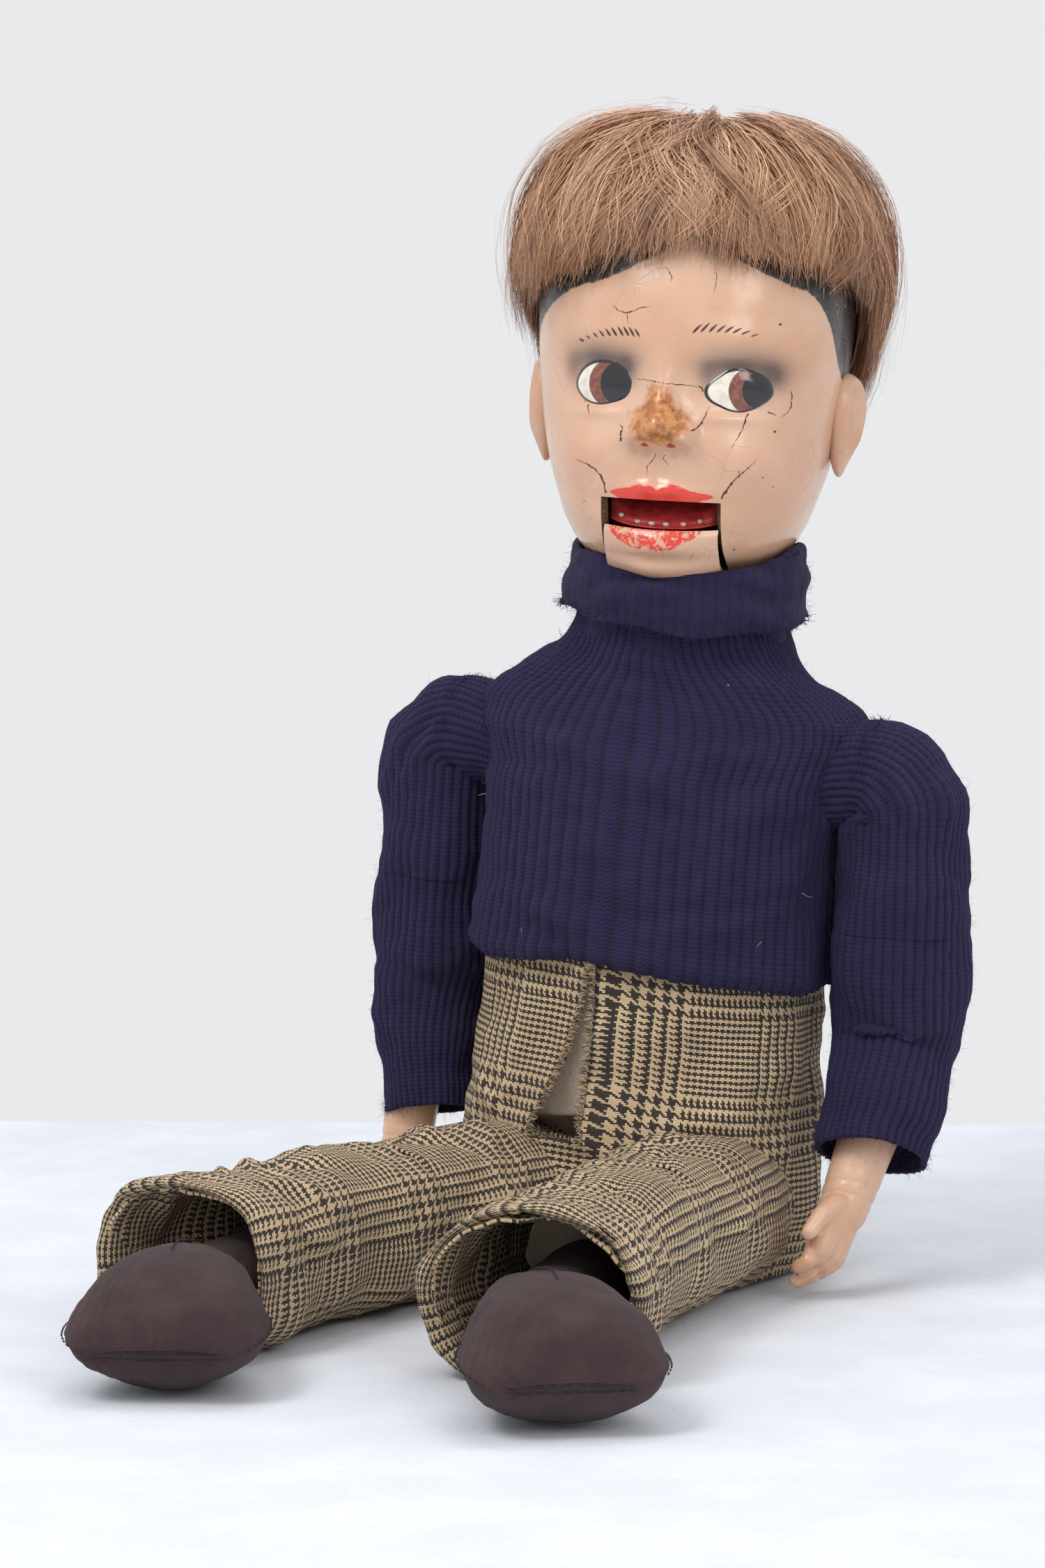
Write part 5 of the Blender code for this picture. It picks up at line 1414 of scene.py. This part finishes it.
def sleeve_line(side, sign):
    """Centre line of a sleeve: out of the shoulder, down the upper arm, round the elbow, to the cuff."""
    upper = [
        (-38, 0, -8), (-25, 0, -5), (-10, 0, -5), (-1, 0, -13),
        (0, 0, -26), (0, 0, -42), (0, 0, -62), (0, 0, -82),
    ]
    shoulder = moved(SHOULDER[side], np.array(upper, float) * np.array((sign, 1, 1)))
    bend = moved(SHOULDER[side], np.array([[0, 1.5, -UPPER_ARM]], float))
    lean = math.tan(FOREARM_LEAN[side])
    reach = (-28, -40, -49) if side == "l" else (-30, -44, -55)
    shift = (0, 1.5, 3.5) if side == "l" else (3.0, 6.0, 8.5)
    cuff = np.array([(-sign * lean * max(0, -z - 23) + x, 0, z) for z, x in zip(reach, shift)], float)
    return np.concatenate([shoulder, bend, moved(ELBOW[side], cuff)])


SLEEVE_SPLIT = 92.0
FORE = -90  # the angle round an arm that faces forwards
# (height, angle outwards from the front, the same of the other end, width, height of the fold)
SLEEVE_FRONT_CREASES = (
    (8, -50, -26, 10, 3.5, 3.4), (4, -20, -34, 30, 3, -2.6), (10, 0, -24, 24, 3.5, 3.2),
    (12, 50, -30, 60, 4, 2.6),
)
# (height, angle, the same of the other end, width, height of the fold)
ELBOW_CREASES = (
    (-84, FORE - 60, -100, FORE + 30, 4, 2.6), (-94, FORE - 40, -108, FORE + 50, 3.5, -3.0),
    (-104, FORE - 50, -116, FORE + 40, 4, 2.8), (-96, 100, -114, 40, 5, 2.4),
    (-120, FORE - 40, -132, FORE + 30, 4, 2.0),
)


def make_sleeves():
    for side, sign in SIDES:
        line = sleeve_line(side, sign)
        lengths = np.concatenate([[0], np.cumsum(np.linalg.norm(np.diff(line, axis=0), axis=1))]) / MM
        rows = np.column_stack([lengths, line])
        total = lengths[-1]
        full, end = (25.8, 22.6) if side == "l" else (24.6, 18.6)
        radii = (
            (0, 17.0), (13, 20.0), (29, 22.6), (42, 23.8), (56, 24.6), (SLEEVE_SPLIT, full), (120, full),
            (142, full - 1.6), (total - 12, end), (total, end - 0.4),
        )
        matrix = SHOULDER[side]
        back = np.array(matrix)[:3, 1]

        def shape(u, v, low, high, rows=rows, radii=radii, back=back):
            s = low + (high - low) * v
            centre = np.stack(profile(rows, s), 1)
            ahead = np.stack(profile(rows, s + 2), 1) - np.stack(profile(rows, s - 2), 1)
            ahead /= np.linalg.norm(ahead, axis=1)[:, None] + 1e-12
            out = np.cross(ahead, back)
            out /= np.linalg.norm(out, axis=1)[:, None] + 1e-12
            fore = np.cross(out, ahead)
            radius, = profile(radii, s)
            radius = radius + 0.7 * np.sin(s / 8.0 + 4 * np.pi * u) * step(40, 80, s)
            c, d = np.cos(2 * np.pi * u), np.sin(2 * np.pi * u)
            return centre + (out * c[:, None] + fore * d[:, None]) * (radius * MM)[:, None]

        def crease(z0, a0, z1, a1, width, height):
            found = []
            for z, angle in ((z0, a0), (z1, a1)):
                a = math.radians(angle)
                found.extend(spot(matrix, 24 * math.cos(a), 24 * math.sin(a), z) / MM)
            return (*found, width, height)

        upper_creases = [
            crease(z0, FORE + sign * a0, z1, FORE + sign * a1, width, height)
            for z0, a0, z1, a1, width, height in SLEEVE_FRONT_CREASES
        ]
        upper_creases[3:3] = [crease(10, 90, -25, 60, 5, 2.6), crease(0, 120, -34, 100, 5, -2.4),
                              crease(-40, FORE - 30, -62, FORE + 40, 6, 2.2)]
        lower_creases = [crease(*numbers) for numbers in ELBOW_CREASES]
        for low, high, part, creases, count in (
            (0.6, SLEEVE_SPLIT, "upper", upper_creases, 64),
            (SLEEVE_SPLIT, total, "lower", lower_creases, 68),
        ):
            made = wool_piece(
                f"ribbed_sleeve_{part}_{side}",
                lambda u, v, low=low, high=high: shape(u, v, low, high),
                240, count, (0.158, (high - low) * MM), 40, 1.2, creases,
            )
            modify(made, "SOLIDIFY", thickness=WOOL_WALL, offset=-1)
            finish(made, KNIT)
            if part == "upper":
                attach(made, "upper_arm_" + side)
                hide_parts("sleeve_upper_" + side)
                fibres(
                    "sleeve_fluff_upper_" + side, made, 2600, 1.7, WOOL_END, 41 + sign, "upper_arm_" + side,
                )
                fibres(
                    "shoulder_frayed_seam_" + side, made, 900, 1.2, WOOL_END, 61 + sign, "upper_arm_" + side,
                    0.3,
                    keep=lambda p: (np.abs(within(matrix, p)[:, 0] * sign + 13) < 3)
                    & (within(matrix, p)[:, 2] > -4),
                )
            else:
                start, stop = spot(matrix, 0, 0, -UPPER_ARM + 20), spot(ELBOW[side], 0, 0, -22)
                bend = ("upper_arm_" + side, "forearm_" + side, tuple(start), tuple(stop))
                fibres(
                    "sleeve_fluff_lower_" + side, made, 3000, 1.8, WOOL_END, 51 + sign, None,
                    blend=bend,
                )
                fibres(
                    "sleeve_cuff_fluff_" + side, made, 600, 1.9, WOOL_END, 71 + sign, None, 0.14,
                    blend=bend,
                    keep=lambda p: within(ELBOW[side], p)[:, 2] < within(ELBOW[side], p)[:, 2].min() + 5,
                )
                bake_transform(made)
                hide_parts("sleeve_lower_" + side)


# ---------------------------------------------------------------- trousers
def cloth_piece(name, shape, columns, rows, size, creases, lump=1.0):
    made = laid(name, shape, columns, rows, size)
    edit(made, weld, outward)
    points, outs = coordinates(made), normals(made)
    points = folds(points, outs, [(*c[:7], c[7] * 1.6) for c in creases])
    lumps = cloudy(points, 0.025, 2) * 3.4 * lump + cloudy(points, 0.009, 6) * 1.3 * lump
    put(made, on_floor(points + outs * (lumps * MM)[:, None], 0.0018))
    return made


# (height, dummy's right edge, dummy's left edge) of the torn fly
FLY = (
    (52, -25.0, -5.5), (58, -27.0, -5.0), (64, -26.0, -5.5), (75, -21.5, -6.0), (90, -16.5, -6.2),
    (105, -12.8, -6.5), (125, -10.0, -7.0), (140, -9.0, -7.6),
)


def make_seat():
    """The top of the trousers, with its torn fly."""

    def shape(u, v):
        z = 0.8 + v * 138
        x, y = torso_at(u, z, 2.2)
        lap = bell(z, 40, 34) * step(0, -30, y)
        grow = 1 + 0.02 * bell(z, 60, 40)
        x, y = x * grow, y * grow - 7.0 * lap
        p = np.stack([x, y, z], 1)
        return moved(BODY, p)

    creases = (
        (-50, -42, 60, -24, -58, 96, 4, 2.4), (-60, -30, 75, -40, -52, 60, 4, 2.0),
        (20, -56, 60, 62, -40, 78, 5, 2.4), (30, -54, 84, 74, -34, 92, 5, 2.0),
        (6, -58, 52, 60, -44, 64, 4, -2.0), (40, -50, 50, 74, -30, 60, 4, 2.2),
        (-14, -56, 60, 20, -58, 48, 4, 2.0), (-40, 40, 60, 40, 46, 50, 7, 3.0),
        (-50, 36, 90, 20, 48, 80, 7, 2.4), (8, -54, 106, 50, -48, 112, 6, 1.5),
    )
    seat = cloth_piece("trouser_top", shape, 340, 120, (0.365, 0.138), in_frame(BODY, creases))
    p = within(BODY, coordinates(seat))
    left, right = profile(FLY, np.clip(p[:, 2], 52, 140))
    flap = 3.4 * bell(p[:, 0], left, 9) * (p[:, 0] < left)
    flap = flap + 1.6 * bell(p[:, 0], right, 6) * (p[:, 0] > right)
    p[:, 1] -= flap * (p[:, 1] < 0) * step(48, 60, p[:, 2]) * step(138, 120, p[:, 2])
    put(seat, moved(BODY, p))
    c = centres_in(seat, BODY)
    left, right = profile(FLY, np.clip(c[:, 2], 52, 140))
    ragged = 0.7 * np.sin(c[:, 2] * 2.1) + 0.5 * np.sin(c[:, 2] * 5.3 + 1)
    torn = (c[:, 0] > left + ragged) & (c[:, 0] < right - 0.5 * ragged) & (c[:, 1] < 0)
    without(seat, torn & (c[:, 2] > 57 + ragged) & (c[:, 2] < 136))
    modify(seat, "SOLIDIFY", thickness=CLOTH_WALL, offset=-1)
    finish(seat, CHECK)
    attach(seat, "torso")
    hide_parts("trouser_seat")
    edge_points = []
    for z in np.linspace(55, 130, 230):
        left, right = profile(FLY, np.array([z]))
        edge_points.extend(((left[0], z, -1), (right[0], z, 1)))
    for x in np.linspace(-25, -6, 30):
        edge_points.append((x, 57.5, 0))
    frayed(edge_points)


def frayed(edge_points):
    """Loose thread ends along the torn edges of the fly."""
    rng = np.random.default_rng(8)
    paths = []
    for x, z, way in edge_points:
        front_y = torso_at(np.array([FRONT]), np.array([z]), 4.2)[1][0]
        rise = 1.5 if way == 0 else 0
        for _ in range(2):
            start = np.array((x + way * 0.8, front_y - 2.2 - 7.0 * bell(z, 40, 34), z + rng.normal(0, 0.3)))
            off = (-way * rng.uniform(0.8, 3.6), rng.uniform(-1.0, 0.6), rng.normal(0, 0.9) + rise)
            end = start + np.array(off)
            middle = (start + end) / 2 + rng.normal(0, 0.35, 3)
            paths.append([start, middle, end])
    paths = np.array(paths)
    count = len(paths)
    world = moved(BODY, paths.reshape(-1, 3)).reshape(count, 3, 3)
    facing = np.tile(np.array((0, -1.0, 0.2)), (count, 3, 1)) + rng.normal(0, 0.4, (count, 1, 3))
    widths = np.full((count, 3), 0.32 * MM) * np.array((1, 0.9, 0.4))[None]
    dark = np.arange(count) % 5 < 2
    for name, material, keep in (("tan", FRAY_TAN, ~dark), ("dark", FRAY_DARK, dark)):
        made = strand_mesh(
            "fly_frayed_" + name, world[keep], widths[keep], np.zeros((keep.sum(), 3)), facing[keep]
        )
        finish(made, material)
        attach(made, "torso")


# (length along the leg, place along it, half width, height above and below its middle)
LEG_ROWS = (
    (0, 34, 30.5, 27.0, 27.0), (14, 24, 34.0, 30.0, 30.5), (34, 4, 36.5, 31.0, 31.0),
    (64, -26, 36.0, 31.5, 31.0), (96, -58, 34.0, 31.0, 31.0), (128, -90, 32.6, 31.5, 31.0),
    (150, -112, 32.8, 32.2, 31.0),
    (172, -134, 33.6, 31.0, 31.0), (196, -158, 35.6, 30.0, 31.0), (222, -184, 37.6, 29.6, 30.8),
    (228, -190, 38.0, 29.6, 30.8),
)
# (share of the roll's way round, place along the leg, how much wider than the leg)
CUFF_ROWS = (
    (0, -166, 1.03), (0.10, -167.5, 1.10), (0.22, -172, 1.125), (0.42, -184, 1.13), (0.50, -189.5, 1.135),
    (0.57, -192.6, 1.10), (0.64, -192.8, 1.03), (0.70, -190, 0.975), (0.82, -183, 0.95), (1.0, -173, 0.94),
)
CUFF_SECTION = (37.6, 29.6, 30.8)
# (place along the leg, angle round it, the same of the other end, width, height), on thigh and shin
LEG_CREASES = (
    (
        (-10, 100, -34, 40, 4, 2.6), (-22, 140, -46, 80, 4, 2.2), (-36, 60, -70, 110, 5, -2.0),
        (-60, 30, -84, 90, 4, 2.0), (-74, 120, -104, 70, 5, 2.2), (-20, 20, -60, 5, 5, 2.2),
        (-30, 170, -80, 175, 5, 2.0), (-90, 150, -108, 95, 4, -2.0),
    ),
    (
        (-104, 120, -126, 50, 4, 2.6), (-116, 60, -140, 100, 4, -2.2), (-124, 150, -146, 95, 4, 2.4),
        (-138, 30, -164, 75, 4, 2.2), (-150, 120, -172, 80, 4, 2.4), (-160, 170, -176, 120, 4, -2.2),
        (-142, 10, -170, 20, 4, 2.0),
    ),
)
LEG_POWER = 2.25
LEG_GIRTH = 0.205
LEG_END = 228
LEG_SPLIT = 112.0


def make_trouser_legs():
    for side, sign in SIDES:
        matrix = HIP[side]

        def shape(u, v, low, high, matrix=matrix):
            s = low + (high - low) * v
            y, half, up, down = profile(LEG_ROWS, s)
            a, b = rounded(u, half, up, down, LEG_POWER)
            crumple = 0.9 * np.sin(s / 6.0 + 3 * np.sin(2 * np.pi * u)) * step(140, 200, s)
            crumple = crumple + 0.8 * np.sin(s / 9.0 + 5 * u) * step(60, 0, s)
            grow = 1 + crumple / 34
            flat = np.stack([a * grow, y + 0 * a, b * np.where(b > 0, grow, 1)], 1)
            world = moved(matrix, flat)
            return on_floor(world, 0.0006 + 0.0004 * np.sin(s / 3))

        def at(y, angle, radius=33, matrix=matrix):
            a = math.radians(angle)
            return spot(matrix, radius * 1.05 * math.cos(a), y, radius * math.sin(a)) / MM

        def crease(y0, a0, y1, a1, width, height):
            return (*at(y0, a0), *at(y1, a1), width, height)

        upper, lower = [[crease(*numbers) for numbers in rows] for rows in LEG_CREASES]
        knee = spot(matrix, 0, -THIGH, 0)
        ahead = spot(matrix, 0, -THIGH - 1.0, 0) - knee
        hip = spot(matrix, 0, 0, 0)
        thigh = cloth_piece(
            "trouser_thigh_" + side + "_cloth", lambda u, v: shape(u, v, 0, LEG_SPLIT), 190, 74,
            (LEG_GIRTH, LEG_SPLIT * MM), upper,
        )
        modify(thigh, "SOLIDIFY", thickness=CLOTH_WALL, offset=-1)
        finish(thigh, CHECK)
        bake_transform(thigh)
        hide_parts("trouser_thigh_" + side)
        shin = cloth_piece(
            "trouser_leg_" + side + "_cloth", lambda u, v: shape(u, v, LEG_SPLIT, LEG_END), 190, 76,
            (LEG_GIRTH, (LEG_END - LEG_SPLIT) * MM), lower,
        )
        uv = uv_of(shin)
        uv[:, 1] += LEG_SPLIT * MM
        put_uv(shin, uv)
        modify(shin, "SOLIDIFY", thickness=CLOTH_WALL, offset=-1)
        finish(shin, CHECK)
        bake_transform(shin)
        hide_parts("trouser_cuff_" + side)

        def cuff_shape(u, v, matrix=matrix):
            y, grow = profile(CUFF_ROWS, v)
            a, b = rounded(u, *CUFF_SECTION, LEG_POWER)
            wave = 1.4 * np.sin(6 * np.pi * u + sign) + 0.9 * np.sin(14 * np.pi * u + 2)
            grow = grow + 0.016 * np.sin(8 * np.pi * u + 2 * sign) * step(0.0, 0.2, v)
            flat = np.stack([a * grow, y + wave * step(0.2, 0.6, v), b * grow], 1)
            world = moved(matrix, flat)
            return on_floor(world, 0.0005)

        cuff = cloth_piece("rolled_cuff_" + side, cuff_shape, 200, 40, (0.215, 0.060), (), 0.8)
        modify(cuff, "SOLIDIFY", thickness=0.0020, offset=-1)
        finish(cuff, CHECK)
        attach(cuff, "lower_leg_" + side)


# ---------------------------------------------------------------- feet
def sewn(name, paths, widths, facing, side):
    """Stitches of dark thread along a seam of a foot."""
    thread = strand_mesh(name, paths, np.full((len(paths), 3), widths), np.zeros((len(paths), 3)), facing)
    modify(thread, "SOLIDIFY", thickness=0.0003, offset=0)
    finish(thread, THREAD)
    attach(thread, "lower_leg_" + side)


def make_feet():
    rows = (
        (-0.95, 0.55, 0.80), (-0.5, 0.56, 0.80), (0.0, 0.60, 0.84), (0.16, 0.70, 0.90), (0.38, 0.86, 1.00),
        (0.62, 0.99, 0.99), (0.80, 1.02, 0.84), (0.90, 0.98, 0.66), (0.96, 0.90, 0.44), (0.99, 0.78, 0.22),
        (1.0, 0.64, 0.08),
    )
    for side, sign in SIDES:
        level = sign * SPLAY[side]

        def surface(turn, along):
            width, height = profile(rows, along)
            half_height = FOOT_HEIGHT * height / 2
            middle = -HIP_RADIUS + 0.6 + FOOT_HEIGHT / 2 * (0.70 + 0.30 * height)
            blend_in = step(0.12, -0.3, along)
            drop = 19.0 + 2.4 - HIP_RADIUS
            middle = middle * (1 - blend_in) + drop * blend_in
            x, z = rounded(turn, FOOT_HALF_WIDTH * width, half_height, half_height, 2.1)
            pinch = 1.2 * bell(z, 0, 2.2) * step(0.3, 0.7, along)
            x = x + np.sign(x) * pinch
            y = -along * FOOT_LENGTH
            angle = FOOT_TURN[side] * step(-0.15, 0.2, along)
            c, s = np.cos(angle), np.sin(angle)
            flat = np.stack([c * x - s * y, s * x + c * y, z + middle], 1)
            shift = ANKLE_SHIFT[side] * np.clip(1 + along * FOOT_LENGTH / SHIN, 0, 1)
            flat[:, 0] += shift
            flat[:, 1] -= SHIN
            return flat @ np.array(Euler((0, level, 0)).to_matrix()).T

        def shape(u, v):
            along = -0.95 + 1.95 * v ** 0.9
            return moved(KNEE[side], surface(u, along))

        made = laid("stuffed_foot_" + side + "_cotton", shape, 150, 130, (0.13, 0.16))
        edit(made, weld, close_ends, outward)
        points, outs = coordinates(made), normals(made)
        lumps = cloudy(points, 0.016, 3) * 1.5 + cloudy(points, 0.005, 5) * 0.35
        tucks = 0.5 * np.sin(coordinates(made)[:, 0] / MM * 1.6)
        p = within(KNEE[side], points)
        near_toe = step(-SHIN - 50, -SHIN - 66, p[:, 1])
        points = points + outs * ((lumps + tucks * near_toe * 0.5) * MM)[:, None]
        put(made, on_floor(points, 0.0008))
        finish(made, BROWN)
        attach(made, "lower_leg_" + side)
        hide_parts("stuffed_foot_" + side, "stocking_leg_" + side)

        def seam(path, name):
            """Stitches along a path of (turn, place along the foot), stood just off the cotton."""
            pieces = []
            along_path = np.array(path)
            for k in range(len(along_path) - 1):
                a, b = along_path[k], along_path[k + 1]
                turn = np.array([a[0], (a[0] + b[0]) / 2])
                reach = np.array([a[1], (a[1] + b[1]) / 2])
                q = moved(KNEE[side], surface(turn, reach))
                out = q[0] - moved(KNEE[side], surface(np.array([a[0] + 0.5]), np.array([a[1]])))[0]
                out /= np.linalg.norm(out)
                pieces.append((q[0] + out * 0.0007, q[1] + out * 0.0009, out))
            paths = np.array([[s, (s + e) / 2 + o * 0.0004, e] for s, e, o in pieces])
            facing = np.array([[o, o, o] for _, _, o in pieces])
            sewn(name, paths, 0.55 * MM, facing, side)

        seam([(0.0, a) for a in np.linspace(0.25, 0.995, 26)], "toe_seam_outer_" + side)
        seam([(0.5, a) for a in np.linspace(0.995, 0.25, 26)], "toe_seam_inner_" + side)
        seam([(0.25, a) for a in np.linspace(-0.1, 0.62, 24)], "instep_seam_" + side)
        ends = moved(KNEE[side], surface(np.array([0.0, 0.5]), np.array([1.0, 1.0])))
        ahead = moved(KNEE[side], surface(np.array([0.25, 0.25]), np.array([1.0, 0.9])))
        ahead = (ahead[0] - ahead[1]) * np.array((1, 1, 0))
        ahead /= np.linalg.norm(ahead)
        t = np.linspace(0, 1, 15)
        path = ends[0] * (1 - t)[:, None] + ends[1] * t[:, None] + ahead * 0.0012
        paths = np.stack([path[:-1], (path[:-1] + path[1:]) / 2 + ahead * 0.0005, path[1:]], 1)
        sewn("toe_seam_front_" + side, paths, 0.8 * MM, np.tile(ahead, (len(paths), 3, 1)), side)


# ---------------------------------------------------------------- arms
def capsule(start, end, radius0, radius1, squash=1.0):
    """A tapered finger joint between two points, in millimetres."""
    start, end = Vector(start), Vector(end)
    deselect()
    bpy.ops.mesh.primitive_uv_sphere_add(segments=20, ring_count=14, radius=1)
    made = bpy.context.object
    p = coordinates(made)
    line = end - start
    turn = np.array(line.to_track_quat("Z", "Y").to_matrix())
    top = p[:, 2] > 0
    radius = np.where(top, radius1, radius0)
    shaped = np.stack([p[:, 0] * radius * squash, p[:, 1] * radius, p[:, 2] * radius], 1)
    shaped[:, 2] += np.where(top, line.length, 0)
    put(made, shaped @ turn.T + np.array(start))
    return made


def make_hands():
    for side, sign in SIDES:
        wrist = FOREARM * 0.62
        parts = [
            capsule((0, 0, -16), (0, 0, -wrist + 4), 13.4, 10.6),
            capsule((0, 0, -wrist + 8), (0, 0.5, -wrist - 6), 10.8, 10.2),
            capsule((0, 2.5, -wrist - 8), (0, 1.5, -wrist - 22), 9.5, 10.0, 0.78),
            capsule((0, -4.5, -wrist - 8), (0, -4.0, -wrist - 22), 8.0, 9.0, 0.78),
        ]
        inward = -sign
        for k, (length, curl) in enumerate(((33, 4.5), (37, 5.5), (36, 6.5), (31, 7.5))):
            y = -8.6 + 5.8 * k
            knuckle = (0.5 * inward, y, -wrist - 20)
            middle = (0.5 * inward + curl * 0.35 * inward, y * 1.04, -wrist - 20 - (length - 18) * 0.62)
            tip = (0.5 * inward + curl * inward, y * 0.98, -wrist - length + 1.5)
            parts.append(capsule(knuckle, middle, 3.7, 3.5))
            parts.append(capsule(middle, tip, 3.5, 3.0))
        thumb = (inward * 1.0, -14.5, -wrist - 12)
        parts.append(capsule((0, -8, -wrist - 6), thumb, 5.2, 4.2))
        parts.append(capsule(thumb, (inward * 2.2, -17.5, -wrist - 20), 4.2, 3.3))
        hand = joined("forearm_and_hand_" + side, parts)
        p = coordinates(hand)
        p[:, 0] -= sign * math.tan(FOREARM_LEAN[side]) * np.maximum(0, -p[:, 2] - 23)
        put(hand, moved(ELBOW[side], p))
        remeshed(hand, 0.0007, 9)
        q = within(ELBOW[side], coordinates(hand))
        along, across = q[:, 2], q[:, 1]
        gaps = np.zeros(len(q))
        for k in range(3):
            y = -5.7 + 5.8 * k
            gaps += bell(across, y, 0.9) * step(-wrist - 15, -wrist - 22, along)
        wrist_lines = bell(along, -wrist - 1, 0.8) + 0.7 * bell(along, -wrist + 4, 0.7)
        knuckles = bell(along, -wrist - 28, 0.8) * 0.6
        press = -1.0 * gaps - 0.4 * wrist_lines - 0.3 * knuckles
        points = coordinates(hand) + normals(hand) * (press * MM)[:, None]
        put(hand, on_floor(points, 0.0008))
        finish(hand, ARM_PAINT)
        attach(hand, "forearm_" + side)
        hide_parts("forearm_" + side)


# ---------------------------------------------------------------- stuffing
def make_stuffing():
    """The stuffed cloth body under the clothes: soft, lumpy copies of the plain solids."""
    parts = {"torso": "torso", "cloth_neck": "neck"}
    for side, _ in SIDES:
        parts["upper_arm_" + side] = "upper_arm_" + side
        parts["thigh_" + side] = "thigh_" + side
    for index, (node, body) in enumerate(parts.items()):
        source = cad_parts[node]
        mesh = source.data.copy()
        mesh.transform(source.matrix_world)
        made = bpy.data.objects.new("stuffed_" + node, mesh)
        bpy.context.scene.collection.objects.link(made)
        edit(made, weld)
        remeshed(made, 0.0026, 6)
        if node.startswith("upper_arm"):
            q = within(SHOULDER[node[-1]], coordinates(made))
            top = np.clip(q[:, 2] / 20, 0, 1)
            q[:, :2] *= np.sqrt(1 - 0.8 * top**2)[:, None]
            q[:, 2] -= 8.0 * top
            put(made, moved(SHOULDER[node[-1]], q))
        points, outs = coordinates(made), normals(made)
        lumps = np.minimum(0, cloudy(points, 0.018, index) * 1.6 + cloudy(points, 0.005, 3) * 0.4 - 0.2)
        points = points + outs * (lumps * MM)[:, None]
        put(made, on_floor(points, 0.003))
        finish(made, TICKING_PLAIN)
        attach(made, body)
        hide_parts(node)


# ---------------------------------------------------------------- carried-over nodes
def repaint():
    """Gives the nodes that come from the CAD their finishes."""
    by_name = {
        "torso": TICKING, "cloth_neck": TICKING, "upper_arm": TICKING, "thigh": TICKING,
        "swivel": WOOD, "neck_bush": WOOD, "pivot_block": WOOD, "jaw_lever": WOOD, "jaw_stop": WOOD,
        "jaw_pivot": STEEL, "peg_washer": STEEL, "cord_eyelet": BRASS, "cord_screw": BRASS,
        "arm_tie": CORD, "neck_draw": CORD,
    }
    for name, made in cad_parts.items():
        for start, material in by_name.items():
            if name.startswith(start):
                for index in range(len(made.material_slots)):
                    made.material_slots[index].material = material


# ---------------------------------------------------------------- stage
VIEW_FROM = math.radians(22)  # the camera's place round the dummy, from its front to its left
VIEW_DISTANCE, VIEW_HEIGHT = 1.9, 0.35
VIEW_DOWN, VIEW_PAN = 4.70, 1.35  # degrees
VIEW_LENS = 109.4
CLOTH_WIDTH, CLOTH_DEPTH, CLOTH_FRONT = 4.0, 2.97, -2.6
LIGHT_TARGET = Vector((0, 0, 0.25))


def make_stage():
    """A pale cloth with its back edge behind the dummy, soft lights and the camera."""
    p = Paint("table_cover", (0.62, 0.64, 0.70), 0.95)
    at = p.object_place()
    nap = p.noise(at, 0.003, 4, 0.7)
    colour = p.mix(p.ramp(p.noise(at, 0.05, 3), 0.35, 0.7), (0.66, 0.685, 0.74), (0.72, 0.74, 0.79))
    p.base(p.mix(p.ramp(nap, 0.4, 0.8, 0, 0.25), colour, (0.56, 0.59, 0.66)))
    p.bump(nap, 0.0006, 0.6)

    def shape(u, v):
        x, y = (u - 0.5) * CLOTH_WIDTH, CLOTH_FRONT + v * CLOTH_DEPTH
        c, s = math.cos(VIEW_FROM), math.sin(VIEW_FROM)
        return np.stack([x * c - y * s, x * s + y * c, 0 * x - 0.0002], 1)

    floor = laid("table_top", shape, 4, 4)
    finish(floor, p.material)
    world = bpy.data.worlds.new("pale_room")
    bpy.context.scene.world = world
    world.use_nodes = True
    world.node_tree.nodes["Background"].inputs[0].default_value = (0.97, 0.98, 1.0, 1)
    world.node_tree.nodes["Background"].inputs[1].default_value = 0.84
    for name, location, size, power in (
        ("key", (-0.5, -1.5, 1.9), 0.8, 22),
        ("fill", (1.6, -1.2, 1.2), 0.9, 9),
        ("top", (0.1, 0.3, 1.9), 1.2, 8),
    ):
        lamp = bpy.data.lights.new(name, "AREA")
        lamp.energy = power
        lamp.size = size
        made = bpy.data.objects.new(name, lamp)
        made.location = location
        made.rotation_euler = (LIGHT_TARGET - Vector(location)).to_track_quat("-Z", "Y").to_euler()
        bpy.context.scene.collection.objects.link(made)
    lens = bpy.data.cameras.new("camera")
    lens.lens = VIEW_LENS
    lens.clip_start = 0.05
    eye = bpy.data.objects.new("camera", lens)
    eye.location = (VIEW_DISTANCE * math.sin(VIEW_FROM), -VIEW_DISTANCE * math.cos(VIEW_FROM), VIEW_HEIGHT)
    eye.rotation_euler = (math.radians(90 - VIEW_DOWN), 0, VIEW_FROM + math.radians(VIEW_PAN))
    bpy.context.scene.collection.objects.link(eye)
    bpy.context.scene.camera = eye


make_stage()
make_shells()
make_jaw()
make_eyes()
make_brows()
make_cracks()
make_wig()
make_sweater()
make_collar()
make_sleeves()
make_seat()
make_trouser_legs()
make_feet()
make_hands()
make_stuffing()
repaint()
